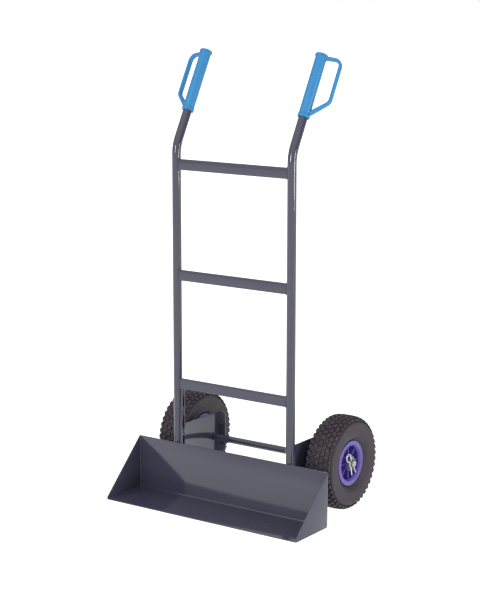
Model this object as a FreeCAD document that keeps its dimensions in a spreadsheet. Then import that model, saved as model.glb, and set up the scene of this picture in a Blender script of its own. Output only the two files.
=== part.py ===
"""Hand truck with a scoop toe and two pneumatic wheels, as a parametric FreeCAD document.

Frame of the part: millimetres, +Z up, ground at Z = 0, the toe points to -Y, +X is the right hand
side seen from the toe. The origin is on the ground in the middle of the whole truck.
"""
import FreeCAD, Part
import Sketcher
import math
import os

from FreeCAD import Placement, Rotation, Vector

doc = FreeCAD.newDocument("HandTruck")
sheet = doc.addObject("Spreadsheet::Sheet", "Sizes")

# ---------------------------------------------------------------- driving dimensions (mm, degrees)
SIZES = [
    # uprights: two bent round tubes
    ("UprightSpacing", 378.0), ("TubeDiameter", 25.0), ("TubeWall", 2.0), ("TubeFoot", 6.0),
    ("BendHeight", 985.0), ("BendRadius", 100.0), ("HandleLean", 29.0), ("HandleReach", 283.0),
    # crossbars: flat bar, coped to the tubes
    ("BarHeight", 30.0), ("BarThickness", 5.0), ("BarForward", 8.0),
    ("LowerBar", 323.0), ("MiddleBar", 630.0), ("UpperBar", 936.0),
    # scoop toe
    ("ToeWidth", 634.0), ("ToeDepth", 151.0), ("ToeHeight", 153.0), ("ToeNose", 8.0),
    ("SheetThickness", 3.0), ("SheetBend", 3.0), ("GussetCorner", 2.0),
    # wheel brackets
    ("BracketSheet", 3.0), ("BracketBend", 1.0), ("BracketOutset", 0.5), ("BracketTop", 199.0),
    ("BracketBottom", 62.0), ("BracketReach", 193.0), ("BracketRearFlange", 25.0),
    ("BracketWeldFlange", 12.5),
    # axle and what is threaded on it
    ("AxleDiameter", 20.0), ("AxleSetback", 160.0), ("AxleChamfer", 1.5), ("AxleEnd", 5.0),
    ("WheelOutset", 61.5), ("WeldClearance", 0.1), ("SideClearance", 0.3), ("SpacerClearance", 0.1),
    ("WasherRim", 7.0), ("WasherThickness", 3.0), ("SlipClearance", 0.2), ("SpacerWall", 3.5),
    # spring clip through the axle
    ("ClipWire", 4.0), ("ClipTilt", 60.0), ("ClipEye", 26.0), ("ClipLeg", 33.0),
    # wheels
    ("WheelDiameter", 260.0), ("TyreWidth", 85.0), ("CarcassDiameter", 65.0), ("CarcassRadius", 91.0),
    ("FlankRise", 11.0), ("FlankRound", 12.0), ("ShoulderDrop", 20.0), ("ShoulderRound", 16.0),
    ("CrownInset", 11.5), ("CrownRound", 14.0),
    ("TubeRubber", 2.5), ("BeadGap", 24.0), ("BeadClearance", 0.3), ("BeadSideClearance", 0.36),
    ("RimWidth", 64.4), ("RimDiameter", 126.0), ("RimSeat", 101.6), ("RimWell", 93.0),
    ("RimLipInner", 99.0), ("RimLip", 4.0), ("RimFlangeSlope", 5.0), ("RimMouth", 6.0),
    ("RimWeb", 4.0), ("HubLength", 61.0), ("HubWall", 3.5), ("RibThickness", 3.5),
    ("RibCount", 8.0), ("RibDrop", 8.0), ("RibRoot", 1.0),
    ("BoltCircle", 68.0), ("BoltDiameter", 6.0), ("BoltCount", 4.0), ("BoltHead", 4.0),
    ("BoltTail", 2.0), ("NutHeight", 5.0), ("HexCorners", 11.5), ("ThreadClearance", 0.05),
    ("Overcut", 1.0),
    # roller bearing in the hub
    ("RaceWall", 2.2), ("RacePlay", 0.22), ("RollerDiameter", 5.0), ("RollerCount", 10.0),
    ("RunningClearance", 0.08), ("SeatClearance", 0.05), ("CageWall", 2.8), ("CageEnd", 3.0),
    ("CageInset", 0.3), ("RollerPlay", 0.15),
    # valve
    ("ValveDiameter", 7.0), ("ValveOffset", 8.0), ("ValveDrop", 11.0), ("ValveLength", 13.0),
    ("CapWall", 1.2), ("CapLength", 9.0),
    # handgrips with a knuckle guard
    ("GripStart", 105.0), ("GripLength", 183.0), ("GripWall", 2.9), ("GripFlangeLip", 2.5),
    ("GripFlangeHeight", 8.0), ("GripCollarLip", 1.5), ("GripCollarHeight", 10.0),
    ("GripDome", 2.5), ("GripRound", 0.8), ("GripClearance", 0.1),
    ("GuardReach", 58.5), ("GuardThickness", 9.0), ("GuardWidth", 13.0), ("GuardRound", 2.5),
    ("GuardSwing", 16.0), ("GuardTop", 173.5), ("GuardElbow", 53.5), ("GuardFoot", 13.5),
    ("GuardCorner", 19.0), ("GuardRoot", 2.0),
]
for row, (alias, size) in enumerate(SIZES, start=1):
    sheet.set(f"A{row}", alias)
    sheet.set(f"B{row}", str(size))
    sheet.setAlias(f"B{row}", alias)
doc.recompute()

# ------------------------------------------------------------ places that several pieces share
UPRIGHT_Y = "(Sizes.TubeDiameter / 2 + Sizes.ToeDepth - Sizes.AxleSetback - Sizes.WheelDiameter / 2) / 2"
UPRIGHT_X = "Sizes.UprightSpacing / 2"
AXLE_Z = "Sizes.WheelDiameter / 2"
AXLE_Y = f"{UPRIGHT_Y} + Sizes.AxleSetback"
WHEEL_X = f"({UPRIGHT_X} + Sizes.WheelOutset)"
HUB_OUT = f"{WHEEL_X} + Sizes.HubLength / 2"
HUB_IN = f"{WHEEL_X} - Sizes.HubLength / 2"
CLIP_X = f"{HUB_OUT} + 2 * Sizes.SideClearance + Sizes.WasherThickness + Sizes.ClipWire / 2"
AXLE_HALF = f"{CLIP_X} + Sizes.ClipWire / 2 + Sizes.AxleEnd"
TUBE_R = "Sizes.TubeDiameter / 2"
GRIP_R = f"({TUBE_R} + Sizes.GripClearance + Sizes.GripWall)"
AXLE_R = "Sizes.AxleDiameter / 2"
WASHER_R = f"{AXLE_R} + Sizes.WasherRim"
RACE_BORE_R = f"({AXLE_R} + Sizes.RunningClearance + Sizes.RollerDiameter + Sizes.RacePlay)"
RACE_SEAT_R = f"({RACE_BORE_R} + Sizes.RaceWall)"
HUB_R = f"({RACE_SEAT_R} + Sizes.HubWall)"
SIDES = {"left": -1, "right": 1}


def number(text):
    """Value of an expression on the sheet, as a plain float."""
    found = sheet.evalExpression(text)
    return float(found.Value) if hasattr(found, "Value") else float(found)


def bind(thing, **links):
    """Ties properties of an object to expressions; a double underscore stands for a dot."""
    for name, text in links.items():
        thing.setExpression(name.replace("__", "."), text)
    return thing


def place(thing, x=None, y=None, z=None):
    """Ties the position of an object to expressions."""
    for axis, text in (("x", x), ("y", y), ("z", z)):
        if text is not None:
            thing.setExpression(f"Placement.Base.{axis}", text)
    return thing


def turn(thing, axis, angle):
    """Turns an object about its own origin."""
    thing.Placement = Placement(thing.Placement.Base, Rotation(axis, angle))
    return thing


# ------------------------------------------------------------------------------- sketch helpers
def new_body(label):
    body = doc.addObject("PartDesign::Body", label.title().replace("_", ""))
    body.Label = label
    return body


def plane_of(body, role):
    return [feature for feature in body.Origin.OriginFeatures if feature.Role == role][0]


def new_sketch(body, role, name):
    sketch = body.newObject("Sketcher::SketchObject", name)
    sketch.AttachmentSupport = [(plane_of(body, role), "")]
    sketch.MapMode = "FlatFace"
    return sketch


def pin_point(sketch, geo, point, x, y):
    """Fixes a sketch point at two expressions, using an axis where the expression is 0."""
    for kind, axis, text in (("DistanceX", -2, x), ("DistanceY", -1, y)):
        if text == "0":
            sketch.addConstraint(Sketcher.Constraint("PointOnObject", geo, point, axis))
            continue
        index = sketch.addConstraint(Sketcher.Constraint(kind, -1, 1, geo, point, number(text)))
        sketch.setExpression(f"Constraints[{index}]", text)


def outline(sketch, corners, closed=True):
    """Draws a chain of lines through corners (x, y) or (x, y, radius), all given as expressions."""
    points = [Vector(number(corner[0]), number(corner[1]), 0) for corner in corners]
    count = len(points)
    starts, ends, arcs = list(points), list(points), {}
    for i, corner in enumerate(corners):
        if len(corner) < 3:
            continue
        before = (points[i - 1] - points[i]).normalize()
        after = (points[(i + 1) % count] - points[i]).normalize()
        half = before.getAngle(after) / 2
        radius = number(corner[2])
        ends[i] = points[i] + before * (radius / math.tan(half))
        starts[i] = points[i] + after * (radius / math.tan(half))
        middle = (before + after).normalize()
        centre = points[i] + middle * (radius / math.sin(half))
        arcs[i] = Part.Arc(ends[i], centre - middle * radius, starts[i])
    last = count if closed else count - 1
    lines = [sketch.addGeometry(Part.LineSegment(starts[i], ends[(i + 1) % count]), False)
             for i in range(last)]
    for i, corner in enumerate(corners):
        into, away = lines[i - 1], lines[i] if i < last else None
        if i in arcs:
            arc = sketch.addGeometry(arcs[i], False)
            near_start = sketch.getPoint(arc, 1).distanceToPoint(ends[i])
            near_end = sketch.getPoint(arc, 2).distanceToPoint(ends[i])
            first, second = (1, 2) if near_start < near_end else (2, 1)
            sketch.addConstraint(Sketcher.Constraint("Tangent", into, 2, arc, first))
            sketch.addConstraint(Sketcher.Constraint("Tangent", arc, second, away, 1))
            index = sketch.addConstraint(Sketcher.Constraint("Radius", arc, number(corner[2])))
            sketch.setExpression(f"Constraints[{index}]", corner[2])
            knot = sketch.addGeometry(Part.Point(points[i]), True)
            sketch.addConstraint(Sketcher.Constraint("PointOnObject", knot, 1, into))
            sketch.addConstraint(Sketcher.Constraint("PointOnObject", knot, 1, away))
            pin_point(sketch, knot, 1, corner[0], corner[1])
        elif not closed and i == count - 1:
            pin_point(sketch, into, 2, corner[0], corner[1])
        else:
            if closed or i > 0:
                sketch.addConstraint(Sketcher.Constraint("Coincident", into, 2, away, 1))
            pin_point(sketch, away, 1, corner[0], corner[1])
    return sketch


def circle(sketch, x, y, radius):
    """Draws a circle whose centre and radius are expressions."""
    round_edge = Part.Circle(Vector(number(x), number(y), 0), Vector(0, 0, 1), number(radius))
    geo = sketch.addGeometry(round_edge, False)
    pin_point(sketch, geo, 3, x, y)
    index = sketch.addConstraint(Sketcher.Constraint("Radius", geo, number(radius)))
    sketch.setExpression(f"Constraints[{index}]", radius)
    return sketch


def pad(body, sketch, length, middle=False, name="Pad"):
    feature = body.newObject("PartDesign::Pad", name)
    feature.Profile = sketch
    feature.SideType = "Symmetric" if middle else "One side"
    bind(feature, Length=length)
    return feature


def revolve(body, sketch, kind="Revolution"):
    feature = body.newObject(f"PartDesign::{kind}", kind)
    feature.Profile = sketch
    feature.ReferenceAxis = (sketch, ["H_Axis"])
    feature.Angle = 360.0
    return feature


def cut_through(body, sketch, name="Cut"):
    feature = body.newObject("PartDesign::Pocket", name)
    feature.Profile = sketch
    feature.Type = "ThroughAll"
    feature.SideType = "Symmetric"
    return feature


def polar(body, features, count, name="Polar"):
    """Repeats features around the body's own X axis."""
    pattern = body.newObject("PartDesign::PolarPattern", name)
    pattern.Originals = features
    pattern.Axis = (plane_of(body, "X_Axis"), [""])
    pattern.Angle = 360.0
    bind(pattern, Occurrences=count)
    body.Tip = pattern
    return pattern


def cylinder(label, radius, height):
    solid = doc.addObject("Part::Cylinder", label)
    solid.Label = label
    return bind(solid, Radius=radius, Height=height)


def cut(label, base, tool):
    result = doc.addObject("Part::Cut", label)
    result.Label = label
    result.Base, result.Tool = base, tool
    return result


def ring(label, outer, inner, height):
    """A tube along the local X axis, from 0 to height."""
    return turn(cut(label, cylinder(f"{label}_outside", outer, height),
                    cylinder(f"{label}_bore", inner, height)), Vector(0, 1, 0), 90)


# ------------------------------------------------------------------------------ the frame's pieces
def make_upright(side):
    """A round tube, straight from its foot to one bend, leaning back to the handle."""
    body = new_body(f"{side}_upright")
    spine = outline(new_sketch(body, "YZ_Plane", "Spine"), [
        ("0", "Sizes.TubeFoot"),
        ("0", "Sizes.BendHeight", "Sizes.BendRadius"),
        ("Sizes.HandleReach * sin(Sizes.HandleLean * 1 deg)",
         "Sizes.BendHeight + Sizes.HandleReach * cos(Sizes.HandleLean * 1 deg)")], closed=False)
    section = new_sketch(body, "XY_Plane", "Section")
    bind(section, AttachmentOffset__Base__z="Sizes.TubeFoot")
    circle(section, "0", "0", TUBE_R)
    circle(section, "0", "0", f"{TUBE_R} - Sizes.TubeWall")
    doc.recompute()
    tube = body.newObject("PartDesign::AdditivePipe", "Tube")
    tube.Profile = section
    tube.Spine = (spine, ["Edge1", "Edge2", "Edge3"])
    return place(body, x=f"{SIDES[side]} * {UPRIGHT_X}", y=UPRIGHT_Y)


def make_crossbar(name, height):
    """A flat bar between the uprights, its ends coped to the tubes."""
    bar = doc.addObject("Part::Box", f"{name}_blank")
    bind(bar, Length="Sizes.UprightSpacing", Width="Sizes.BarThickness", Height="Sizes.BarHeight")
    place(bar, x=f"-{UPRIGHT_X}", y=f"{UPRIGHT_Y} - Sizes.BarForward",
          z=f"{height} - Sizes.BarHeight / 2")
    copes = doc.addObject("Part::MultiFuse", f"{name}_copes")
    copes.Shapes = [
        place(cylinder(f"{name}_{side}_cope", f"{TUBE_R} + Sizes.WeldClearance", "2 * Sizes.BarHeight"),
              x=f"{sign} * {UPRIGHT_X}", y=UPRIGHT_Y, z=f"{height} - Sizes.BarHeight")
        for side, sign in SIDES.items()]
    return cut(name, bar, copes)


def make_scoop():
    """Back plate and floor, one sheet with one fold, between the two end gussets."""
    body = new_body("toe_scoop")
    back = f"-{TUBE_R}"
    front = f"-{TUBE_R} - Sizes.ToeDepth"
    sheet_t = "Sizes.SheetThickness"
    section = outline(new_sketch(body, "YZ_Plane", "Section"), [
        (front, "0"),
        (back, "0", f"Sizes.SheetBend + {sheet_t}"),
        (back, "Sizes.ToeHeight"),
        (f"{back} - {sheet_t}", "Sizes.ToeHeight"),
        (f"{back} - {sheet_t}", sheet_t, "Sizes.SheetBend"),
        (front, sheet_t)])
    pad(body, section, "Sizes.ToeWidth - 2 * Sizes.SheetThickness", middle=True)
    return place(body, y=UPRIGHT_Y)


def make_gusset(side):
    """Triangular end plate of the scoop, flush with the sheet all round."""
    body = new_body(f"{side}_toe_gusset")
    back = f"-{TUBE_R}"
    front = f"-{TUBE_R} - Sizes.ToeDepth"
    plate = outline(new_sketch(body, "YZ_Plane", "Plate"), [
        (front, "0"),
        (back, "0", "Sizes.SheetBend + Sizes.SheetThickness"),
        (back, "Sizes.ToeHeight", "Sizes.GussetCorner"),
        (f"{back} - Sizes.SheetThickness", "Sizes.ToeHeight"),
        (front, "Sizes.ToeNose")])
    pad(body, plate, "Sizes.SheetThickness")
    start = "Sizes.ToeWidth / 2 - Sizes.SheetThickness" if side == "right" else "-Sizes.ToeWidth / 2"
    return place(body, x=start, y=UPRIGHT_Y)


def make_bracket(side):
    """Folded wheel bracket: a web behind the upright, a rear flange and a weld flange with a tongue."""
    sign = SIDES[side]
    body = new_body(f"{side}_wheel_bracket")
    thick, bend = "Sizes.BracketSheet", "Sizes.BracketBend"
    near = f"{TUBE_R} + Sizes.WeldClearance"
    weld_edge = f"{-sign} * Sizes.BracketWeldFlange"
    rear_edge = f"{-sign} * Sizes.BracketRearFlange"
    inner = f"{-sign} * {thick}"
    outer_bend = f"{bend} + {thick}"
    channel = new_sketch(body, "XY_Plane", "Channel")
    bind(channel, AttachmentOffset__Base__z="Sizes.BracketBottom")
    outline(channel, [
        (weld_edge, near), ("0", near, outer_bend),
        ("0", "Sizes.BracketReach", outer_bend), (rear_edge, "Sizes.BracketReach"),
        (rear_edge, f"Sizes.BracketReach - {thick}"),
        (inner, f"Sizes.BracketReach - {thick}", bend),
        (inner, f"{near} + {thick}", bend), (weld_edge, f"{near} + {thick}")])
    pad(body, channel, "Sizes.BracketTop - Sizes.BracketBottom", name="Sheet")
    tongue = new_sketch(body, "XY_Plane", "Tongue")
    bind(tongue, AttachmentOffset__Base__z="Sizes.BracketTop - Sizes.BracketSheet")
    outline(tongue, [
        (weld_edge, near), (f"{-sign} * ({outer_bend})", near),
        (f"{-sign} * ({outer_bend})", f"{near} + {thick}"), (weld_edge, f"{near} + {thick}")])
    pad(body, tongue, "Sizes.LowerBar - Sizes.BarHeight / 2 - Sizes.BracketTop + Sizes.BracketSheet",
        name="TonguePad")
    doc.recompute()
    hole = circle(new_sketch(body, "YZ_Plane", "AxleHole"), "Sizes.AxleSetback", AXLE_Z,
                  f"{AXLE_R} + Sizes.WeldClearance")
    cut_through(body, hole, "AxleCut")
    return place(body, x=f"{sign} * ({UPRIGHT_X} + Sizes.BracketOutset)", y=UPRIGHT_Y)


def make_axle():
    """A plain round bar with chamfered ends and a cross hole near each end for the spring clips."""
    body = new_body("axle")
    profile = outline(new_sketch(body, "XY_Plane", "Profile"), [
        (f"-({AXLE_HALF})", "0"),
        (f"-({AXLE_HALF})", f"{AXLE_R} - Sizes.AxleChamfer"),
        (f"-({AXLE_HALF}) + Sizes.AxleChamfer", AXLE_R),
        (f"{AXLE_HALF} - Sizes.AxleChamfer", AXLE_R),
        (AXLE_HALF, f"{AXLE_R} - Sizes.AxleChamfer"),
        (AXLE_HALF, "0")])
    revolve(body, profile)
    doc.recompute()
    holes = new_sketch(body, "XY_Plane", "ClipHoles")
    holes.AttachmentOffset = Placement(Vector(), Rotation(Vector(1, 0, 0), 1))
    bind(holes, AttachmentOffset__Rotation__Angle="90 - Sizes.ClipTilt")
    for sign in SIDES.values():
        circle(holes, f"{sign} * ({CLIP_X})", "0", "Sizes.ClipWire / 2 + Sizes.SlipClearance")
    cut_through(body, holes, "ClipCut")
    return place(body, y=AXLE_Y, z=AXLE_Z)


def make_on_axle(label, sign, start, outer, length):
    """A ring on the axle that starts at the distance start from the middle of the truck."""
    piece = ring(label, outer, f"{AXLE_R} + Sizes.SlipClearance", length)
    left_end = start if sign > 0 else f"-({start}) - ({length})"
    return place(piece, x=left_end, y=AXLE_Y, z=AXLE_Z)


def make_axle_rings(side):
    """The spacer and the two washers that keep a wheel in its place along the axle."""
    sign = SIDES[side]
    washer, gap = "Sizes.WasherThickness", "Sizes.SideClearance"
    spacer_start = f"{UPRIGHT_X} + Sizes.BracketOutset + Sizes.SpacerClearance"
    inner_start = f"{HUB_IN} - {gap} - {washer}"
    make_on_axle(f"{side}_axle_spacer", sign, spacer_start,
                 f"{AXLE_R} + Sizes.SlipClearance + Sizes.SpacerWall",
                 f"{inner_start} - Sizes.SpacerClearance - ({spacer_start})")
    make_on_axle(f"{side}_inner_washer", sign, inner_start, WASHER_R, washer)
    make_on_axle(f"{side}_outer_washer", sign, f"{HUB_OUT} + {gap}", WASHER_R, washer)


def rounded_path(corners):
    """A wire through flat corners (along, across, radius) in the YZ plane, with tangent arcs."""
    points = [Vector(0, corner[0], -corner[1]) for corner in corners]
    edges, here = [], points[0]
    for i in range(1, len(points) - 1):
        before = (points[i - 1] - points[i]).normalize()
        after = (points[i + 1] - points[i]).normalize()
        half, radius = before.getAngle(after) / 2, corners[i][2]
        middle = (before + after).normalize()
        centre = points[i] + middle * (radius / math.sin(half))
        start = points[i] + before * (radius / math.tan(half))
        end = points[i] + after * (radius / math.tan(half))
        edges.append(Part.LineSegment(here, start).toShape())
        edges.append(Part.Arc(start, centre - middle * radius, end).toShape())
        here = end
    edges.append(Part.LineSegment(here, points[-1]).toShape())
    return Part.Wire(edges)


def make_clip(side):
    """Spring wire clip: a straight leg through the axle, an eye and a leg bowed round the axle."""
    wire = number("Sizes.ClipWire")
    clear = number(f"{AXLE_R} + Sizes.SideClearance") + wire / 2
    eye = (number("Sizes.ClipEye") - wire) / 2
    leg = number("Sizes.ClipLeg")
    neck = clear + 0.75 * wire
    back = neck + 2.05 * eye
    # The straight leg lies along +Y through the axle's centre, the bowed leg on its -Z side.
    path = rounded_path([
        (leg, 0.0),
        (-neck, 0.0, wire),
        (-back, -0.4 * eye, 0.88 * eye),
        (-back, 1.6 * eye, 0.93 * eye),
        (-neck - 0.1 * eye, 1.6 * eye, 0.88 * eye),
        (-neck, 1.1 * wire, 0.6 * wire),
        (-0.5 * clear, 1.08 * clear, 0.4 * clear),
        (0.6 * clear, 1.03 * clear, clear),
        (0.8 * leg, 1.5 * clear)])
    section = Part.Wire([Part.Circle(Vector(0, leg, 0), Vector(0, 1, 0), wire / 2).toShape()])
    shape = path.makePipeShell([section], True, False)
    if shape.Volume < 0:
        shape.reverse()
    piece = doc.addObject("Part::Feature", f"{side}_r_clip")
    piece.Label = f"{side}_r_clip"
    piece.Shape = shape
    piece.Placement = Placement(
        Vector(SIDES[side] * number(CLIP_X), number(AXLE_Y), number(AXLE_Z)),
        Rotation(Vector(1, 0, 0), -number("Sizes.ClipTilt")))
    return piece


def make_handgrip(side):
    """Moulded grip: a sleeve closed at the top, with a flange, a collar and a knuckle guard."""
    sign = SIDES[side]
    body = new_body(f"{side}_handgrip")
    collar, flange = f"{GRIP_R} + Sizes.GripCollarLip", f"{GRIP_R} + Sizes.GripFlangeLip"
    # The revolved sleeve is drawn on its side: sketch X runs along the handle.
    sleeve = outline(new_sketch(body, "XZ_Plane", "Sleeve"), [
        ("0", "0"), ("0", collar, "Sizes.GripRound"),
        ("Sizes.GripCollarHeight", collar, "Sizes.GripRound"),
        ("Sizes.GripCollarHeight", GRIP_R),
        ("Sizes.GripLength - Sizes.GripFlangeHeight", GRIP_R),
        ("Sizes.GripLength - Sizes.GripFlangeHeight", flange, "Sizes.GripRound"),
        ("Sizes.GripLength - Sizes.GripDome", flange, "Sizes.GripRound"),
        ("Sizes.GripLength", f"({flange}) / 2"),
        ("Sizes.GripLength", "0")])
    revolve(body, sleeve)
    doc.recompute()
    spine = outline(new_sketch(body, "XZ_Plane", "GuardSpine"), [
        ("Sizes.GuardTop", "0"),
        ("Sizes.GuardTop", "Sizes.GuardReach", "Sizes.GuardCorner"),
        ("Sizes.GuardElbow", "Sizes.GuardReach", "Sizes.GuardCorner"),
        ("Sizes.GuardFoot", f"{GRIP_R} - Sizes.GuardRoot")], closed=False)
    section = new_sketch(body, "XY_Plane", "GuardSection")
    half_t, half_w = "Sizes.GuardThickness / 2", "Sizes.GuardWidth / 2"
    outline(section, [
        (f"Sizes.GuardTop - {half_t}", f"-{half_w}", "Sizes.GuardRound"),
        (f"Sizes.GuardTop + {half_t}", f"-{half_w}", "Sizes.GuardRound"),
        (f"Sizes.GuardTop + {half_t}", half_w, "Sizes.GuardRound"),
        (f"Sizes.GuardTop - {half_t}", half_w, "Sizes.GuardRound")])
    doc.recompute()
    guard = body.newObject("PartDesign::AdditivePipe", "Guard")
    guard.Profile = section
    guard.Spine = (spine, [f"Edge{i}" for i in range(1, 6)])
    doc.recompute()
    bore = circle(new_sketch(body, "YZ_Plane", "Bore"), "0", "0", f"{TUBE_R} + Sizes.GripClearance")
    hollow = body.newObject("PartDesign::Pocket", "Hollow")
    hollow.Profile = bore
    hollow.Reversed = True
    bind(hollow, Length="Sizes.HandleReach - Sizes.GripStart + Sizes.GripClearance")
    # Local X becomes the handle's direction, local Z the guard's outward direction.
    lean = math.radians(number("Sizes.HandleLean"))
    swing = math.radians(number("Sizes.GuardSwing"))
    along = Vector(0, math.sin(lean), math.cos(lean))
    rearward = Vector(0, math.cos(lean), -math.sin(lean))
    outward = Vector(sign * math.cos(swing), 0, 0) + rearward * math.sin(swing)
    turned = Rotation(along, outward.cross(along), outward, "XZY")
    body.Placement = Placement(Vector(), turned)
    return place(body, x=f"{sign} * {UPRIGHT_X}",
                 y=f"{UPRIGHT_Y} + Sizes.GripStart * sin(Sizes.HandleLean * 1 deg)",
                 z="Sizes.BendHeight + Sizes.GripStart * cos(Sizes.HandleLean * 1 deg)")


# ------------------------------------------------------------------------------- the wheels' pieces
def on_wheel(piece, side, flip=False):
    """Puts a piece drawn about the local X axis, outer side to +X, on a wheel's centre."""
    if (SIDES[side] < 0) != flip:
        # The turn is about a line halfway between two ribs, so ribs and bolt holes still meet.
        between = math.pi / number("Sizes.RibCount")
        turn(piece, Vector(0, math.cos(between), math.sin(between)), 180)
    return place(piece, x=f"{SIDES[side]} * {WHEEL_X}", y=AXLE_Y, z=AXLE_Z)


def make_tyre(side):
    """Pneumatic tyre: round shoulders and flanks, beads that follow the rim, hollow inside."""
    body = new_body(f"{side}_tyre")
    crown, flank = "Sizes.WheelDiameter / 2", "Sizes.TyreWidth / 2"
    seat = "Sizes.RimSeat / 2 + Sizes.BeadClearance"
    heel = "Sizes.RimWidth / 2 - Sizes.RimLip - Sizes.BeadSideClearance"
    half = [(f"{heel} - Sizes.RimFlangeSlope", seat), (heel, "Sizes.RimDiameter / 2"),
            (flank, "Sizes.RimDiameter / 2 + Sizes.FlankRise", "Sizes.FlankRound"),
            (flank, f"{crown} - Sizes.ShoulderDrop", "Sizes.ShoulderRound"),
            (f"{flank} - Sizes.CrownInset", crown, "Sizes.CrownRound")]
    mirrored = [(f"-({corner[0]})",) + corner[1:] for corner in reversed(half)]
    section = outline(new_sketch(body, "XY_Plane", "Section"), half + mirrored)
    revolve(body, section)
    doc.recompute()
    cavity = circle(new_sketch(body, "XY_Plane", "Cavity"), "0", "Sizes.CarcassRadius",
                    "Sizes.CarcassDiameter / 2")
    revolve(body, cavity, "Groove")
    doc.recompute()
    slot = outline(new_sketch(body, "XY_Plane", "BeadSlot"), [
        ("-Sizes.BeadGap / 2", "Sizes.RimSeat / 2"), ("Sizes.BeadGap / 2", "Sizes.RimSeat / 2"),
        ("Sizes.BeadGap / 2", "Sizes.RimDiameter / 2"), ("-Sizes.BeadGap / 2", "Sizes.RimDiameter / 2")])
    revolve(body, slot, "Groove")
    return on_wheel(body, side)


def make_inner_tube(side):
    """Butyl tube inside the tyre."""
    halves = []
    for name, inset in (("outside", "Sizes.BeadClearance"), ("air", "Sizes.TubeRubber")):
        torus = doc.addObject("Part::Torus", f"{side}_inner_tube_{name}")
        bind(torus, Radius1="Sizes.CarcassRadius", Radius2=f"Sizes.CarcassDiameter / 2 - {inset}")
        halves.append(torus)
    tube = turn(cut(f"{side}_inner_tube", *halves), Vector(0, 1, 0), 90)
    return on_axis_place(tube, side)


def on_axis_place(piece, side, inset="0"):
    """Puts a piece that is already turned along X on a wheel's centre, moved along X by inset."""
    return place(piece, x=f"{SIDES[side]} * {WHEEL_X} + {inset}", y=AXLE_Y, z=AXLE_Z)


def make_rim_half(side, half):
    """One moulded half of the rim: hub, web, eight ribs, tyre seat and a broad lip."""
    body = new_body(f"{side}_rim_{half}_half")
    seat, well, lip = "Sizes.RimSeat / 2", "Sizes.RimWell / 2", "Sizes.RimWidth / 2"
    web = "Sizes.RimWeb"
    section = outline(new_sketch(body, "XY_Plane", "Section"), [
        ("0", RACE_SEAT_R), ("Sizes.HubLength / 2", RACE_SEAT_R),
        ("Sizes.HubLength / 2", HUB_R), (web, HUB_R), (web, well),
        (f"{lip} - Sizes.RimMouth", well), (lip, "Sizes.RimLipInner / 2"),
        (lip, "Sizes.RimDiameter / 2"), (f"{lip} - Sizes.RimLip", "Sizes.RimDiameter / 2"),
        (f"{lip} - Sizes.RimLip - Sizes.RimFlangeSlope", seat), ("0", seat)])
    revolve(body, section)
    doc.recompute()
    root, tip = f"{HUB_R} - Sizes.RibRoot", f"{well} + Sizes.RibRoot"
    rib = outline(new_sketch(body, "XY_Plane", "Rib"), [
        (f"{web} / 2", root), ("Sizes.HubLength / 2 - Sizes.RibDrop", root),
        (f"{lip} - Sizes.RibDrop", tip), (f"{web} / 2", tip)])
    first = pad(body, rib, "Sizes.RibThickness", middle=True, name="RibPad")
    doc.recompute()
    polar(body, [first], "Sizes.RibCount", "Ribs")
    doc.recompute()
    spot = circle(new_sketch(body, "YZ_Plane", "BoltHole"),
                  "Sizes.BoltCircle / 2 * cos(180 deg / Sizes.RibCount)",
                  "Sizes.BoltCircle / 2 * sin(180 deg / Sizes.RibCount)",
                  "Sizes.BoltDiameter / 2 + Sizes.SlipClearance")
    first_hole = cut_through(body, spot, "BoltCut")
    doc.recompute()
    polar(body, [first_hole], "Sizes.BoltCount", "BoltHoles")
    if half == "inner":
        doc.recompute()
        port = new_sketch(body, "XY_Plane", "ValvePort")
        port.AttachmentOffset = Placement(Vector(), Rotation(Vector(1, 0, 0), 1))
        bind(port, AttachmentOffset__Rotation__Angle="90 + 3 * 180 / Sizes.RibCount")
        circle(port, "Sizes.ValveOffset", "0", "Sizes.ValveDiameter / 2 + Sizes.SlipClearance")
        doc.recompute()
        hole = body.newObject("PartDesign::Pocket", "ValveHole")
        hole.Profile = port
        hole.Type = "Length"
        bind(hole, Length=f"{seat} + Sizes.Overcut")
    return on_wheel(body, side, flip=(half == "inner"))


def bolt_angles():
    """Angle about the axle of each rim bolt, halfway between two ribs."""
    count = int(number("Sizes.BoltCount"))
    offset = 180.0 / number("Sizes.RibCount")
    return [offset + 360.0 * i / count for i in range(count)]


def hexagon(label, height):
    prism = doc.addObject("Part::Prism", label)
    prism.Polygon = 6
    return bind(prism, Circumradius="Sizes.HexCorners / 2", Height=height)


def along_x(piece, side, start, angle):
    """Lays a piece drawn along Z on the rim's bolt circle, pointing away from the truck."""
    sign = SIDES[side]
    piece.Placement = Placement(Vector(), Rotation(Vector(0, 1, 0), 90 * sign))
    return place(piece, x=f"{sign} * ({WHEEL_X} + ({start}))",
                 y=f"{AXLE_Y} + Sizes.BoltCircle / 2 * cos({angle} deg)",
                 z=f"{AXLE_Z} + Sizes.BoltCircle / 2 * sin({angle} deg)")


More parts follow.
